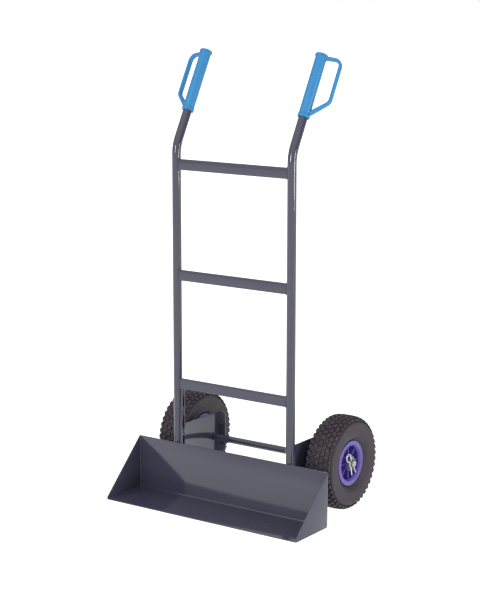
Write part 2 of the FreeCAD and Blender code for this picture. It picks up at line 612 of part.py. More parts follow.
def make_rim_fasteners(side):
    """The bolts that hold the rim halves together, heads outside, and their nuts."""
    bolts, nuts = [], []
    tail = "Sizes.RimWeb + Sizes.NutHeight + Sizes.BoltTail"
    for i, angle in enumerate(bolt_angles(), start=1):
        name = f"{side}_rim_bolt_{i}"
        head = along_x(hexagon(f"{name}_head", "Sizes.BoltHead"), side, "Sizes.RimWeb", angle)
        shank = along_x(cylinder(f"{name}_shank", "Sizes.BoltDiameter / 2",
                                 f"{tail} + Sizes.RimWeb + Sizes.Overcut"), side, f"-({tail})", angle)
        bolt = doc.addObject("Part::Fuse", name)
        bolt.Base, bolt.Tool = head, shank
        bolts.append(bolt)
        blank = along_x(hexagon(f"{name}_nut_blank", "Sizes.NutHeight"), side,
                        "-Sizes.RimWeb - Sizes.NutHeight", angle)
        tap = along_x(cylinder(f"{name}_nut_bore", "Sizes.BoltDiameter / 2 + Sizes.ThreadClearance",
                               "Sizes.NutHeight + 2 * Sizes.Overcut"),
                      side, "-Sizes.RimWeb - Sizes.NutHeight - Sizes.Overcut", angle)
        nuts.append(cut(f"{name}_nut", blank, tap))
    for label, pieces in ((f"{side}_rim_bolts", bolts), (f"{side}_rim_nuts", nuts)):
        group = doc.addObject("Part::Compound", label)
        group.Label = label
        group.Links = pieces


def make_bearing(side):
    """Roller bearing in the hub: outer race, cage with pockets and the rollers."""
    count = int(number("Sizes.RollerCount"))
    length, start = "Sizes.HubLength", "-Sizes.HubLength / 2"
    on_axis_place(ring(f"{side}_bearing_race", f"{RACE_SEAT_R} - Sizes.SeatClearance", RACE_BORE_R, length),
                  side, start)
    pitch = f"({AXLE_R} + Sizes.RunningClearance + Sizes.RollerDiameter / 2)"
    cage_blank = on_axis_place(
        ring(f"{side}_cage_blank", f"{pitch} + Sizes.CageWall / 2", f"{pitch} - Sizes.CageWall / 2",
             f"{length} - 2 * Sizes.CageInset"), side, f"{start} + Sizes.CageInset")
    rollers, pockets = [], []
    for i in range(count):
        angle = 360.0 * i / count
        for name, radius, inset, group in (
                ("roller", "Sizes.RollerDiameter / 2", "Sizes.CageEnd + Sizes.RollerPlay", rollers),
                ("pocket", "Sizes.RollerDiameter / 2 + Sizes.RollerPlay", "Sizes.CageEnd", pockets)):
            pin = cylinder(f"{side}_{name}_{i + 1}", radius, f"{length} - 2 * ({inset})")
            pin.Placement = Placement(Vector(), Rotation(Vector(0, 1, 0), 90))
            place(pin, x=f"{SIDES[side]} * {WHEEL_X} {start} + {inset}",
                  y=f"{AXLE_Y} + {pitch} * cos({angle} deg)", z=f"{AXLE_Z} + {pitch} * sin({angle} deg)")
            group.append(pin)
    tool = doc.addObject("Part::MultiFuse", f"{side}_cage_pockets")
    tool.Shapes = pockets
    cut(f"{side}_bearing_cage", cage_blank, tool)
    group = doc.addObject("Part::Compound", f"{side}_bearing_rollers")
    group.Label = f"{side}_bearing_rollers"
    group.Links = rollers


def make_valve(side):
    """Bent tyre valve in a pocket of the rim's inner half, and its dust cap."""
    sign = SIDES[side]
    between = math.pi / number("Sizes.RibCount")
    angle = 3 * between if sign < 0 else -between
    direction = Vector(0, math.cos(angle), math.sin(angle))
    centre = Vector(sign * number(WHEEL_X), number(AXLE_Y), number(AXLE_Z))
    radius = number("Sizes.ValveDiameter") / 2
    offset = Vector(-sign * number("Sizes.ValveOffset"), 0, 0)
    top = centre + offset + direction * number("Sizes.CarcassRadius - Sizes.CarcassDiameter / 2")
    elbow = centre + offset + direction * number("Sizes.RimWell / 2 - Sizes.ValveDrop")
    out = Vector(-sign, 0, 0)
    length = number("Sizes.ValveLength")
    stem = Part.makeCylinder(radius, (top - elbow).Length, elbow, direction)
    stem = stem.fuse(Part.makeSphere(radius, elbow)).fuse(Part.makeCylinder(radius, length, elbow, out))
    wall, cap_length = number("Sizes.CapWall"), number("Sizes.CapLength")
    mouth = elbow + out * (length - cap_length + wall)
    play = number("Sizes.SlipClearance") / 2
    cap = Part.makeCylinder(radius + wall, cap_length + play, mouth, out)
    cap = cap.cut(Part.makeCylinder(radius + play, cap_length - wall + play, mouth, out))
    for label, shape in ((f"{side}_valve_stem", stem.removeSplitter()), (f"{side}_valve_cap", cap)):
        piece = doc.addObject("Part::Feature", label)
        piece.Label = label
        piece.Shape = shape


for bar_name, bar_height in (("upper", "Sizes.UpperBar"), ("middle", "Sizes.MiddleBar"),
                             ("lower", "Sizes.LowerBar")):
    make_crossbar(f"{bar_name}_crossbar", bar_height)
make_scoop()
make_axle()
for side in SIDES:
    make_upright(side)
    make_gusset(side)
    make_bracket(side)
    make_axle_rings(side)
    make_clip(side)
    make_handgrip(side)
    make_tyre(side)
    make_inner_tube(side)
    for half in ("outer", "inner"):
        make_rim_half(side, half)
    make_rim_fasteners(side)
    make_bearing(side)
    make_valve(side)
doc.recompute()

# ------------------------------------------------------------------------------ check and write
NODES = ["toe_scoop", "axle"] + [f"{bar}_crossbar" for bar in ("upper", "middle", "lower")]
NODES += [f"{side}_{piece}" for side in SIDES for piece in (
    "upright", "toe_gusset", "wheel_bracket", "axle_spacer", "inner_washer", "outer_washer", "r_clip",
    "handgrip", "tyre", "inner_tube", "rim_outer_half", "rim_inner_half", "rim_bolts", "rim_nuts",
    "bearing_race", "bearing_cage", "bearing_rollers", "valve_stem", "valve_cap")]

for thing in doc.Objects:
    if "Invalid" in thing.State or "Error" in thing.State:
        raise RuntimeError(f"{thing.Name} failed: {thing.State}")

os.makedirs("parts", exist_ok=True)
for node in NODES:
    found = doc.getObjectsByLabel(node)
    if len(found) != 1:
        raise RuntimeError(f"{node}: {len(found)} objects have this label")
    shape = found[0].Shape
    if shape.isNull() or not shape.isValid() or not shape.Solids:
        raise RuntimeError(f"{node}: bad shape")
    shape.exportStep(f"parts/{node}.step")
    box = shape.optimalBoundingBox(False)
    print(f"{node:24s} {len(shape.Solids):3d} solids {shape.Volume:12.1f} mm3  "
          f"x {box.XMin:8.1f} {box.XMax:8.1f}  y {box.YMin:8.1f} {box.YMax:8.1f}  "
          f"z {box.ZMin:8.1f} {box.ZMax:8.1f}")
print(len(NODES), "nodes")
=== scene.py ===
# %% [markdown]
# # A hand truck, piece by piece
# The truck's working parts come from a CAD model, which is loaded here as a fixed frame. This lesson builds
# the visible pieces again with softer edges, tread, welds and finishes, each in the place of its CAD part.
# Everything is in metres: +Z is up, the toe points to -Y and +X is the right side seen from the toe.

# %% Load the frame
import math

import bmesh
import bpy
from mathutils import Matrix, Vector


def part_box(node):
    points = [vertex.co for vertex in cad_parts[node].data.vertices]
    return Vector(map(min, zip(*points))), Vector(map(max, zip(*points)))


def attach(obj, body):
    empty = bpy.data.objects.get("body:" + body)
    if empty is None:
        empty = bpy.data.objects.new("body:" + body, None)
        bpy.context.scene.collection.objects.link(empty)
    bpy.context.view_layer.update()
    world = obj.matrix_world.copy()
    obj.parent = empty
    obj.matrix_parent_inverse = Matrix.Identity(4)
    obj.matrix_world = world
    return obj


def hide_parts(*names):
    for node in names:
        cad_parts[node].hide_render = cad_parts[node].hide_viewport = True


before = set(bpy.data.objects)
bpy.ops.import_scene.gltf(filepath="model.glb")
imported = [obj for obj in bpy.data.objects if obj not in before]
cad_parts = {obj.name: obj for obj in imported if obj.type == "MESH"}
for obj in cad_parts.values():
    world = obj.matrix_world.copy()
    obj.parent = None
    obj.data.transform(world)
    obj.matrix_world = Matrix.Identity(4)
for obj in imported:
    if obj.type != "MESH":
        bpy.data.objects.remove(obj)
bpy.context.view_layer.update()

MM = 0.001
SIDES = {"left": -1, "right": 1}
X_AXIS, Y_AXIS, Z_AXIS = Vector((1, 0, 0)), Vector((0, 1, 0)), Vector((0, 0, 1))

# %% [markdown]
# ## The camera
# The truck is tall and narrow, so it is seen from some way off through a long lens, which keeps the tubes
# nearly parallel. From a little above and to the right the scoop opens towards the eye, one wheel shows its
# outer side and the other its inner side. A camera can be placed by hand in the viewport; here two angles
# and a distance give its place, so the view is easy to read and to change.

# %% Aim the camera
AIM = Vector((0.0232, -0.0633, 0.5775))
AZIMUTH, ELEVATION, DISTANCE = math.radians(35.3), math.radians(11.19), 4.577
LENS = 101.3


def away_from(azimuth, elevation):
    """Unit vector from the truck towards a viewer at these angles, in radians."""
    flat = math.cos(elevation)
    return Vector((math.sin(azimuth) * flat, -math.cos(azimuth) * flat, math.sin(elevation)))


camera_data = bpy.data.cameras.new("camera")
camera_data.lens = LENS
camera = bpy.data.objects.new("camera", camera_data)
camera.location = AIM + away_from(AZIMUTH, ELEVATION) * DISTANCE
camera.rotation_euler = (AIM - camera.location).to_track_quat("-Z", "Y").to_euler()
bpy.context.scene.collection.objects.link(camera)
bpy.context.scene.camera = camera
bpy.context.scene.view_settings.view_transform = "Standard"
print("camera:", DISTANCE, "m away, lens", LENS, "mm")

# %% [markdown]
# ## Helpers for shader nodes
# The room's light and every finish are small graphs of nodes. They can be drawn in the shader editor; in
# code each one is a line, once three helpers carry the routine: `add` makes a node and sets or links its
# inputs, `mix` blends two colours by a mask, and `ramp` stretches a value. `new_material` starts a finish.

# %% Node helpers
def add(tree, kind, inputs=(), **settings):
    """A new node of a tree; each input is a plain value or another node's output."""
    made = tree.nodes.new("ShaderNode" + kind)
    for name, value in settings.items():
        setattr(made, name, value)
    for name, value in dict(inputs).items():
        if isinstance(value, bpy.types.NodeSocket):
            tree.links.new(value, made.inputs[name])
        else:
            made.inputs[name].default_value = value
    return made


def mix(tree, factor, first, second):
    """The colour output of a blend; first and second are colours or outputs."""
    return add(tree, "Mix", {0: factor, 6: first, 7: second}, data_type="RGBA").outputs[2]


def ramp(tree, value, low, high, bottom=0.0, top=1.0):
    """Stretches a value so that low becomes bottom and high becomes top, and clamps it."""
    inputs = {"Value": value, "From Min": low, "From Max": high, "To Min": bottom, "To Max": top}
    return add(tree, "MapRange", inputs).outputs["Result"]


def new_material(name, **sockets):
    """A material with a Principled shader whose sockets are set to plain values by name."""
    material = bpy.data.materials.new(name)
    material.use_nodes = True
    shader = material.node_tree.nodes["Principled BSDF"]
    for label, value in sockets.items():
        shader.inputs[label.replace("_", " ")].default_value = value
    return material, material.node_tree, shader


# %% [markdown]
# ## The studio
# Glossy paint shows the room as much as its own colour, so the room is built as carefully as the truck.
# Lamps alone would leave the paint flat and black. Instead the room itself glows: its sides and its ceiling
# each have a brightness, and the floor is a luminous pale table. Two narrow soft boxes, in front and at the
# right, draw the bright lines in the bends of the tubes. Where nothing is in the way, the camera sees plain
# white.

# %% Hang two soft boxes
def softbox(name, azimuth, elevation, distance, size, watts):
    """A rectangular light that faces the middle of the truck; the angles are in degrees."""
    data = bpy.data.lights.new(name, "AREA")
    data.shape = "RECTANGLE"
    data.size, data.size_y = size
    data.energy = watts
    light = bpy.data.objects.new(name, data)
    light.location = AIM + away_from(math.radians(azimuth), math.radians(elevation)) * distance
    light.rotation_euler = (AIM - light.location).to_track_quat("-Z", "Y").to_euler()
    light.visible_camera = False
    bpy.context.scene.collection.objects.link(light)
    print(f"{name}: {size[0]} x {size[1]} m, {watts} W, {distance} m away")


softbox("left_softbox", -6, 17, 3.4, (0.40, 1.1), 46)
softbox("right_softbox", 95, 6, 3.2, (0.45, 1.1), 44)

# %% Let the room glow
WHITE = (1, 1, 1, 1)
SURROUND = 0.03
WALLS = [((0, -1, 0), 1.05), ((0, 1, 0), 0.15), ((-1, 0, 0), 0.10), ((1, 0, 0), 0.13), ((0, 0, 1), 1.20)]

world = bpy.data.worlds.new("studio")
world.use_nodes = True
bpy.context.scene.world = world
studio = world.node_tree
looking = add(studio, "TexCoord").outputs["Generated"]
glow = SURROUND
for direction, brightness in WALLS:
    facing = add(studio, "VectorMath", {0: looking, 1: direction}, operation="DOT_PRODUCT").outputs["Value"]
    share = add(studio, "Math", {0: facing, 1: 0.0}, operation="MAXIMUM").outputs[0]
    glow = add(studio, "Math", {0: share, 1: brightness, 2: glow}, operation="MULTIPLY_ADD").outputs[0]
seen = add(studio, "LightPath").outputs["Is Camera Ray"]
studio.links.new(mix(studio, seen, glow, WHITE), studio.nodes["Background"].inputs["Color"])
print("room:", len(WALLS), "glowing sides over a surround of", SURROUND)

# %% Lay the floor
FLOOR_HALF, FLOOR_GREY, FLOOR_GLOW = 40.0, 0.35, 1.10

floor_bm = bmesh.new()
bmesh.ops.create_grid(floor_bm, x_segments=1, y_segments=1, size=FLOOR_HALF)
floor_mesh = bpy.data.meshes.new("floor")
floor_bm.to_mesh(floor_mesh)
floor_bm.free()
floor_mesh.materials.append(new_material("floor_paint", Base_Color=(FLOOR_GREY, FLOOR_GREY, FLOOR_GREY, 1),
                                         Roughness=0.9, Emission_Color=WHITE,
                                         Emission_Strength=FLOOR_GLOW)[0])
floor = bpy.data.objects.new("floor", floor_mesh)
bpy.context.scene.collection.objects.link(floor)
print("floor:", 2 * FLOOR_HALF, "m wide")

# %% [markdown]
# ## Effects that several finishes share
# Real edges are never sharp, and paint is thinnest on them. Wear could be painted by hand, but it would
# have to be painted again after each change of shape, so it is worked out. The edge group asks for the
# normal of a slightly rounded copy of the surface: that is handed on as a softer normal, and where it
# differs from the true one there is an edge, which gives a wear mask. The grain group makes the fine
# texture of powder or of a mould, the smudge group the broad uneven polish that hands and cloths leave, and
# the dust group a film on what faces up. Each is a node group, built once and placed in a finish with its
# own values.

# %% Start a group
def new_group(name, inputs, outputs):
    """An empty shader group; sockets are given as (name, kind, value)."""
    group = bpy.data.node_groups.new(name, "ShaderNodeTree")
    for label, kind, value in inputs:
        socket = group.interface.new_socket(label, in_out="INPUT", socket_type="NodeSocket" + kind)
        if value is not None:
            socket.default_value = value
    for label, kind in outputs:
        group.interface.new_socket(label, in_out="OUTPUT", socket_type="NodeSocket" + kind)
    return group, group.nodes.new("NodeGroupInput"), group.nodes.new("NodeGroupOutput")


# %% Rounded edges and their wear
EDGE_BEGINS, EDGE_FULL = 0.995, 0.86


def make_edge_group():
    """A softer normal and a broken-up mask of the edges."""
    inputs = [("Radius", "Float", 0.8 * MM), ("Breakup", "Float", 60.0)]
    group, given, result = new_group("rounded edges", inputs, [("Mask", "Float"), ("Normal", "Vector")])
    rounded = add(group, "Bevel", {"Radius": given.outputs["Radius"]}, samples=4)
    true = add(group, "NewGeometry")
    normals = {0: rounded.outputs["Normal"], 1: true.outputs["Normal"]}
    same = add(group, "VectorMath", normals, operation="DOT_PRODUCT").outputs["Value"]
    edge = ramp(group, same, EDGE_BEGINS, EDGE_FULL)
    place = add(group, "TexCoord").outputs["Object"]
    patches = add(group, "TexNoise", {"Vector": place, "Scale": given.outputs["Breakup"], "Detail": 4.0})
    worn = ramp(group, patches.outputs["Fac"], 0.44, 0.62)
    mask = add(group, "Math", {0: edge, 1: worn}, operation="MULTIPLY").outputs["Value"]
    group.links.new(mask, result.inputs["Mask"])
    group.links.new(rounded.outputs["Normal"], result.inputs["Normal"])
    return group


# %% Grain, smudges and dust
def make_grain_group():
    """A fine height map."""
    inputs = [("Scale", "Float", 900.0), ("Softness", "Float", 0.5)]
    group, given, result = new_group("grain", inputs, [("Height", "Float")])
    place = add(group, "TexCoord").outputs["Object"]
    noise = {"Vector": place, "Scale": given.outputs["Scale"], "Detail": 3.0,
             "Roughness": given.outputs["Softness"]}
    fine = add(group, "TexNoise", noise).outputs["Fac"]
    group.links.new(fine, result.inputs["Height"])
    return group


def make_smudge_group():
    """A mask of broad soft patches."""
    group, given, result = new_group("smudges", [("Scale", "Float", 9.0)], [("Mask", "Float")])
    place = add(group, "TexCoord").outputs["Object"]
    inputs = {"Vector": place, "Scale": given.outputs["Scale"], "Detail": 5.0, "Roughness": 0.5}
    broad = add(group, "TexNoise", inputs).outputs["Fac"]
    group.links.new(ramp(group, broad, 0.34, 0.70), result.inputs["Mask"])
    return group


def make_dust_group():
    """A mask of specks on the faces that look up."""
    group, given, result = new_group("dust", [("Scale", "Float", 30.0)], [("Mask", "Float")])
    facing = add(group, "SeparateXYZ", {0: add(group, "NewGeometry").outputs["Normal"]}).outputs["Z"]
    up = ramp(group, facing, 0.35, 1.0)
    place = add(group, "TexCoord").outputs["Object"]
    specks = add(group, "TexNoise", {"Vector": place, "Scale": given.outputs["Scale"], "Detail": 8.0,
                                     "Roughness": 0.75})
    cloud = ramp(group, specks.outputs["Fac"], 0.42, 0.72)
    both = add(group, "Math", {0: up, 1: cloud}, operation="MULTIPLY").outputs["Value"]
    group.links.new(both, result.inputs["Mask"])
    return group


EDGES, GRAIN, SMUDGES, DUST = make_edge_group(), make_grain_group(), make_smudge_group(), make_dust_group()
print("effects:", ", ".join(group.name for group in (EDGES, GRAIN, SMUDGES, DUST)))


# %% Place an effect in a finish
def effect(tree, group, **values):
    """A group placed in a material, with its own values."""
    placed = tree.nodes.new("ShaderNodeGroup")
    placed.node_tree = group
    for name, value in values.items():
        placed.inputs[name].default_value = value
    return placed


def bump(tree, height, distance, normal):
    """The normal of a surface raised by a height map, on top of another normal."""
    return add(tree, "Bump", {"Height": height, "Distance": distance, "Normal": normal}).outputs["Normal"]


def link_skin(tree, shader, colour, roughness, normal):
    """Links the three sockets that change over every finish."""
    for socket, source in (("Base Color", colour), ("Roughness", roughness), ("Normal", normal)):
        tree.links.new(source, shader.inputs[socket])


# %% [markdown]
# ## Charcoal powder coat
# The frame is sprayed with a blue-grey powder and baked. It flows into a glossy skin with a faint orange
# peel, so the colour stays dark and most of the light seen is a mirror image of the room. A car paint would
# need a clear coat on top; one layer is enough here, because powder has no separate varnish. Sheet parts
# also carry long, shallow waves that only a reflection shows. The axle gets the same paint, which ends at
# the wheels: beyond that its steel is bare.

# %% Charcoal paint
CHARCOAL = (0.0290, 0.0288, 0.0500, 1.0)
CHARCOAL_WORN = (0.075, 0.075, 0.095, 1.0)
DUST_COLOUR = (0.26, 0.25, 0.235, 1.0)
STEEL, STEEL_STAIN = (0.42, 0.39, 0.36, 1), (0.27, 0.25, 0.23, 1)
GLOSS_BEST, GLOSS_WORST = 0.08, 0.13
PAINT_ENDS = 0.2165


def make_charcoal(name, metal_beyond=None):
    """Powder coat; with metal_beyond, the coat ends that far from the truck's middle."""
    material, tree, shader = new_material(name, IOR=1.52)
    edges = effect(tree, EDGES, Radius=0.5 * MM)
    smudges = effect(tree, SMUDGES, Scale=7.0)
    dust = effect(tree, DUST, Scale=38.0)
    touched = mix(tree, ramp(tree, smudges.outputs["Mask"], 0, 1, 0, 0.06), CHARCOAL, CHARCOAL_WORN)
    worn = mix(tree, ramp(tree, edges.outputs["Mask"], 0, 1, 0, 0.40), touched, CHARCOAL_WORN)
    colour = mix(tree, ramp(tree, dust.outputs["Mask"], 0, 1, 0, 0.035), worn, DUST_COLOUR)
    gloss = ramp(tree, smudges.outputs["Mask"], 0, 1, GLOSS_BEST, GLOSS_WORST)
    peel = effect(tree, GRAIN, Scale=420.0, Softness=0.45)
    waves = effect(tree, GRAIN, Scale=5.0, Softness=0.2)
    wavy = bump(tree, waves.outputs["Height"], 0.8 * MM, edges.outputs["Normal"])
    if metal_beyond is not None:
        place = add(tree, "SeparateXYZ", {0: add(tree, "TexCoord").outputs["Object"]}).outputs["X"]
        reach = add(tree, "Math", {0: place}, operation="ABSOLUTE").outputs["Value"]
        bare = ramp(tree, reach, metal_beyond, metal_beyond + 0.5 * MM)
        colour = mix(tree, bare, colour, mix(tree, smudges.outputs["Mask"], STEEL, STEEL_STAIN))
        tree.links.new(bare, shader.inputs["Metallic"])
    link_skin(tree, shader, colour, gloss, bump(tree, peel.outputs["Height"], 0.05 * MM, wavy))
    return material


# %% [markdown]
# ## Rubber, plastics and plated metal
# Tyre rubber is a near-black, slightly brown matt material with a fine moulded grain. Its edges are painted
# pale:
# partly rubbed wear, partly a painted highlight on the tread blocks. The violet rim and the blue grips are
# dyed
# plastics: the colour goes right through, so life comes from a soft sheen, a tiny mould texture and rubbed
# edges.
# Plated steel is a metal with a cloudy roughness. Three recipes cover them all, because finishes of one kind
# differ only in colour, grain and gloss.

# %% Tyre rubber and butyl
def make_rubber(name, colour, rubbed, grain, roughness):
    """Matt rubber: moulded grain, cloudy colour, edges painted paler as rubbed wear and painted highlight.
    """
    material, tree, shader = new_material(name, IOR=1.36)
    edges = effect(tree, EDGES, Radius=1.2 * MM, Breakup=90.0)
    clouds = effect(tree, SMUDGES, Scale=22.0)
    pale = mix(tree, ramp(tree, clouds.outputs["Mask"], 0, 1, 0, 0.07), colour, rubbed)
    # the edges are painted paler: partly rubbed wear, partly a painted highlight on the tread blocks
    worn = mix(tree, ramp(tree, edges.outputs["Mask"], 0, 1, 0, 0.85), pale, rubbed)
    fine = effect(tree, GRAIN, Scale=grain, Softness=0.6)
    link_skin(tree, shader, worn, ramp(tree, clouds.outputs["Mask"], 0, 1, *roughness),
              bump(tree, fine.outputs["Height"], 0.16 * MM, edges.outputs["Normal"]))
    return material


# %% Moulded plastics
def make_plastic(name, colour, rubbed, roughness, grain, depth, **sockets):
    """Dyed plastic: even colour, rubbed edges, a mould texture of the given scale and depth."""
    material, tree, shader = new_material(name, **sockets)
    edges = effect(tree, EDGES, Radius=0.6 * MM, Breakup=50.0)
    clouds = effect(tree, SMUDGES, Scale=16.0)
    uneven = mix(tree, ramp(tree, clouds.outputs["Mask"], 0, 1, 0, 0.25), colour, rubbed)
    worn = mix(tree, ramp(tree, edges.outputs["Mask"], 0, 1, 0, 0.45), uneven, rubbed)
    fine = effect(tree, GRAIN, Scale=grain, Softness=0.55)
    link_skin(tree, shader, worn, ramp(tree, clouds.outputs["Mask"], 0, 1, *roughness),
              bump(tree, fine.outputs["Height"], depth, edges.outputs["Normal"]))
    return material


# %% Plated and bare metals
def make_metal(name, colour, stain, roughness):
    """Metal with a cloudy plating: stained patches are darker and rougher."""
    material, tree, shader = new_material(name, Metallic=1.0)
    edges = effect(tree, EDGES, Radius=0.3 * MM)
    clouds = effect(tree, SMUDGES, Scale=60.0)
    fine = effect(tree, GRAIN, Scale=160.0, Softness=0.7)
    link_skin(tree, shader, mix(tree, clouds.outputs["Mask"], colour, stain),
              ramp(tree, clouds.outputs["Mask"], 0, 1, *roughness),
              bump(tree, fine.outputs["Height"], 0.03 * MM, edges.outputs["Normal"]))
    return material


# %% One finish for each material slot of the record
FINISH = {
    "charcoal_paint": make_charcoal("charcoal_paint"),
    "axle_steel": make_charcoal("axle_steel", metal_beyond=PAINT_ENDS),
    "zinc_steel": make_metal("zinc_steel", (0.27, 0.29, 0.24, 1), (0.16, 0.17, 0.14, 1), (0.32, 0.50)),
    "spring_wire": make_metal("spring_wire", (0.62, 0.62, 0.65, 1), (0.45, 0.45, 0.47, 1), (0.16, 0.28)),
    "bearing_steel": make_metal("bearing_steel", (0.60, 0.60, 0.60, 1), (0.30, 0.28, 0.25, 1), (0.20, 0.40)),
    "valve_brass": make_metal("valve_brass", (0.74, 0.66, 0.44, 1), (0.50, 0.42, 0.24, 1), (0.25, 0.45)),
    # the tyre's second colour is its pale edge colour: rubbed wear and a painted highlight
    "tyre_rubber": make_rubber("tyre_rubber", (0.0210, 0.0142, 0.0205, 1), (0.165, 0.150, 0.180, 1),
                               520.0, (0.50, 0.68)),
    "butyl": make_rubber("butyl", (0.022, 0.022, 0.022, 1), (0.045, 0.045, 0.043, 1), 300.0, (0.6, 0.8)),
    "blue_grip": make_plastic("blue_grip", (0.009, 0.141, 0.322, 1), (0.016, 0.170, 0.370, 1),
                              (0.42, 0.55), 650.0, 0.07 * MM, IOR=1.46),
    "violet_plastic": make_plastic("violet_plastic", (0.058, 0.035, 0.228, 1), (0.086, 0.057, 0.290, 1),
                                   (0.26, 0.40), 300.0, 0.05 * MM, IOR=1.5),
    "cage_plastic": make_plastic("cage_plastic", (0.030, 0.050, 0.042, 1), (0.050, 0.070, 0.060, 1),
                                 (0.4, 0.55), 300.0, 0.05 * MM),
    "black_plastic": make_plastic("black_plastic", (0.018, 0.018, 0.018, 1), (0.040, 0.040, 0.040, 1),
                                  (0.4, 0.55), 300.0, 0.05 * MM),
}
for node_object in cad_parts.values():
    slot_name = node_object.material_slots[0].material.name
    node_object.material_slots[0].material = FINISH[slot_name]
print("finishes:", len(FINISH), "on", len(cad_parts), "CAD parts")

# %% [markdown]
# ## Helpers for meshes
# Metal parts come from three trades, and so do their meshes: a plate is cut out and pushed to its
# thickness, a tube or a wire is drawn along a route, a washer is turned on a lathe. `plate`, `sweep` and
# `turned` do the same with a few vertices, an extrusion or a spin. Ready-made cylinders would be quicker,
# but they can't bend, hold a profile or get a true wall. `finish` makes the object, which then rides with
# its CAD body.

# %% Finishing a piece
SHARP = math.radians(32)
MERGE = 0.005 * MM


def finish(bm, name, slot, body, *stands_for):
    """Makes the object: merged, facing outwards, smooth up to SHARP, riding on its body."""
    bmesh.ops.remove_doubles(bm, verts=bm.verts[:], dist=MERGE)
    bmesh.ops.recalc_face_normals(bm, faces=bm.faces[:])
    mesh = bpy.data.meshes.new(name)
    bm.to_mesh(mesh)
    open_edges = sum(not edge.is_manifold for edge in bm.edges)
    bm.free()
    mesh.polygons.foreach_set("use_smooth", [True] * len(mesh.polygons))
    mesh.set_sharp_from_angle(angle=SHARP)
    mesh.materials.append(FINISH[slot])
    piece = bpy.data.objects.new(name, mesh)
    bpy.context.scene.collection.objects.link(piece)
    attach(piece, body)
    if stands_for:
        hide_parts(*stands_for)
    mesh.calc_loop_triangles()
    print(f"{name}: {len(mesh.loop_triangles)} triangles, {open_edges} open edges")


def join(bm, part):
    """Adds the contents of another bmesh and frees it."""
    mesh = bpy.data.meshes.new("part")
    part.to_mesh(mesh)
    part.free()
    bm.from_mesh(mesh)
    bpy.data.meshes.remove(mesh)


# %% Rounding edges
def bevel(bm, geometry, width, segments, affect="EDGES", clamp=True):
    """Rounds edges or corners, with the values that the editor would fill in."""
    bmesh.ops.bevel(bm, geom=geometry, offset=width, offset_type="OFFSET", segments=segments, profile=0.5,
                    affect=affect, clamp_overlap=clamp, material=-1)


def soften(bm, width, least=math.radians(30), segments=2):
    """Bevels every edge that turns by more than least."""
    edges = [edge for edge in bm.edges if edge.is_manifold and edge.calc_face_angle() > least]
    bevel(bm, edges, width, segments)


def round_edges(bm, direction, places, radius, segments):
    """Rounds the long edges along a direction that pass through the given places."""
    chosen = []
    for edge in bm.edges:
        run = edge.verts[1].co - edge.verts[0].co
        if run.normalized().cross(direction).length > 1e-3:
            continue
        for spot in places:
            if (edge.verts[0].co - spot).cross(direction).length < 0.02 * MM:
                chosen.append(edge)
                break
    bevel(bm, chosen, radius, segments, clamp=False)


# %% Plates
def verts_of(geometry):
    """The vertices among what an operator made."""
    return [item for item in geometry if isinstance(item, bmesh.types.BMVert)]


def plate(bm, corners, thickness):
    """A flat outline of corner points, pushed along a vector into a solid; gives all its vertices."""
    near = [bm.verts.new(corner) for corner in corners]
    grown = bmesh.ops.extrude_face_region(bm, geom=[bm.faces.new(near)])["geom"]
    far = verts_of(grown)
    bmesh.ops.translate(bm, vec=thickness, verts=far)
    return near + far


# %% Routes and sweeps
LEAST_STEP = 0.1 * MM


def rounded_route(corners, normal, arc_step):
    """Frames along straight runs joined by arcs; corners are (point, radius), square to normal."""
    points = [Vector(point) for point, radius in corners]
    stations = [(points[0], (points[1] - points[0]).normalized())]
    for i in range(1, len(points) - 1):
        into, away = (points[i] - points[i - 1]).normalized(), (points[i + 1] - points[i]).normalized()
        bend = into.angle(away)
        radius = corners[i][1]
        if radius == 0:
            stations.append((points[i], (into + away).normalized()))
            continue
        start = points[i] - into * radius * math.tan(bend / 2)
        inward = (away - into).normalized()
        centre = points[i] + inward * (radius / math.cos(bend / 2))
        axis = into.cross(away).normalized()
        steps = max(2, math.ceil(bend / arc_step))
        for step in range(steps + 1):
            swing = Matrix.Rotation(bend * step / steps, 3, axis)
            stations.append((centre + swing @ (start - centre), swing @ into))
    stations.append((points[-1], (points[-1] - points[-2]).normalized()))
    frames = []
    for point, along in stations:
        if frames and (point - frames[-1].translation).dot(along) < LEAST_STEP:
            continue
        across = along.cross(normal).normalized()
        turn = Matrix((normal, across, along)).transposed().to_4x4()
        frames.append(Matrix.Translation(point) @ turn)
    return frames


def sweep(bm, edges, frames, sizes=None):
    """Pushes a closed loop, which lies in the first frame, through the others; sizes scale it at each."""
    sizes = sizes or [1.0] * len(frames)
    for i in range(1, len(frames)):
        grown = bmesh.ops.extrude_edge_only(bm, edges=edges)["geom"]
        verts = set(verts_of(grown))
        edges = [item for item in grown
                 if isinstance(item, bmesh.types.BMEdge) and verts.issuperset(item.verts)]
        scale = Matrix.Diagonal((sizes[i] / sizes[i - 1],) * 2 + (1.0, 1.0))
        step = frames[i] @ scale @ frames[i - 1].inverted()
        bmesh.ops.transform(bm, matrix=step, verts=list(verts))
    return edges


def ring_of_edges(bm, radius, matrix, segments):
    """The edges of a new circle in a frame."""
    made = bmesh.ops.create_circle(bm, cap_ends=False, radius=radius, segments=segments, matrix=matrix)
    return list({edge for vert in made["verts"] for edge in vert.link_edges})


def rod(bm, radius, frames, segments, sizes=None):
    """A round bar along a route, closed at both ends."""
    first = ring_of_edges(bm, radius, frames[0], segments)
    last = sweep(bm, first, frames, sizes)
    for loop in (first, last):
        bmesh.ops.contextual_create(bm, geom=loop)


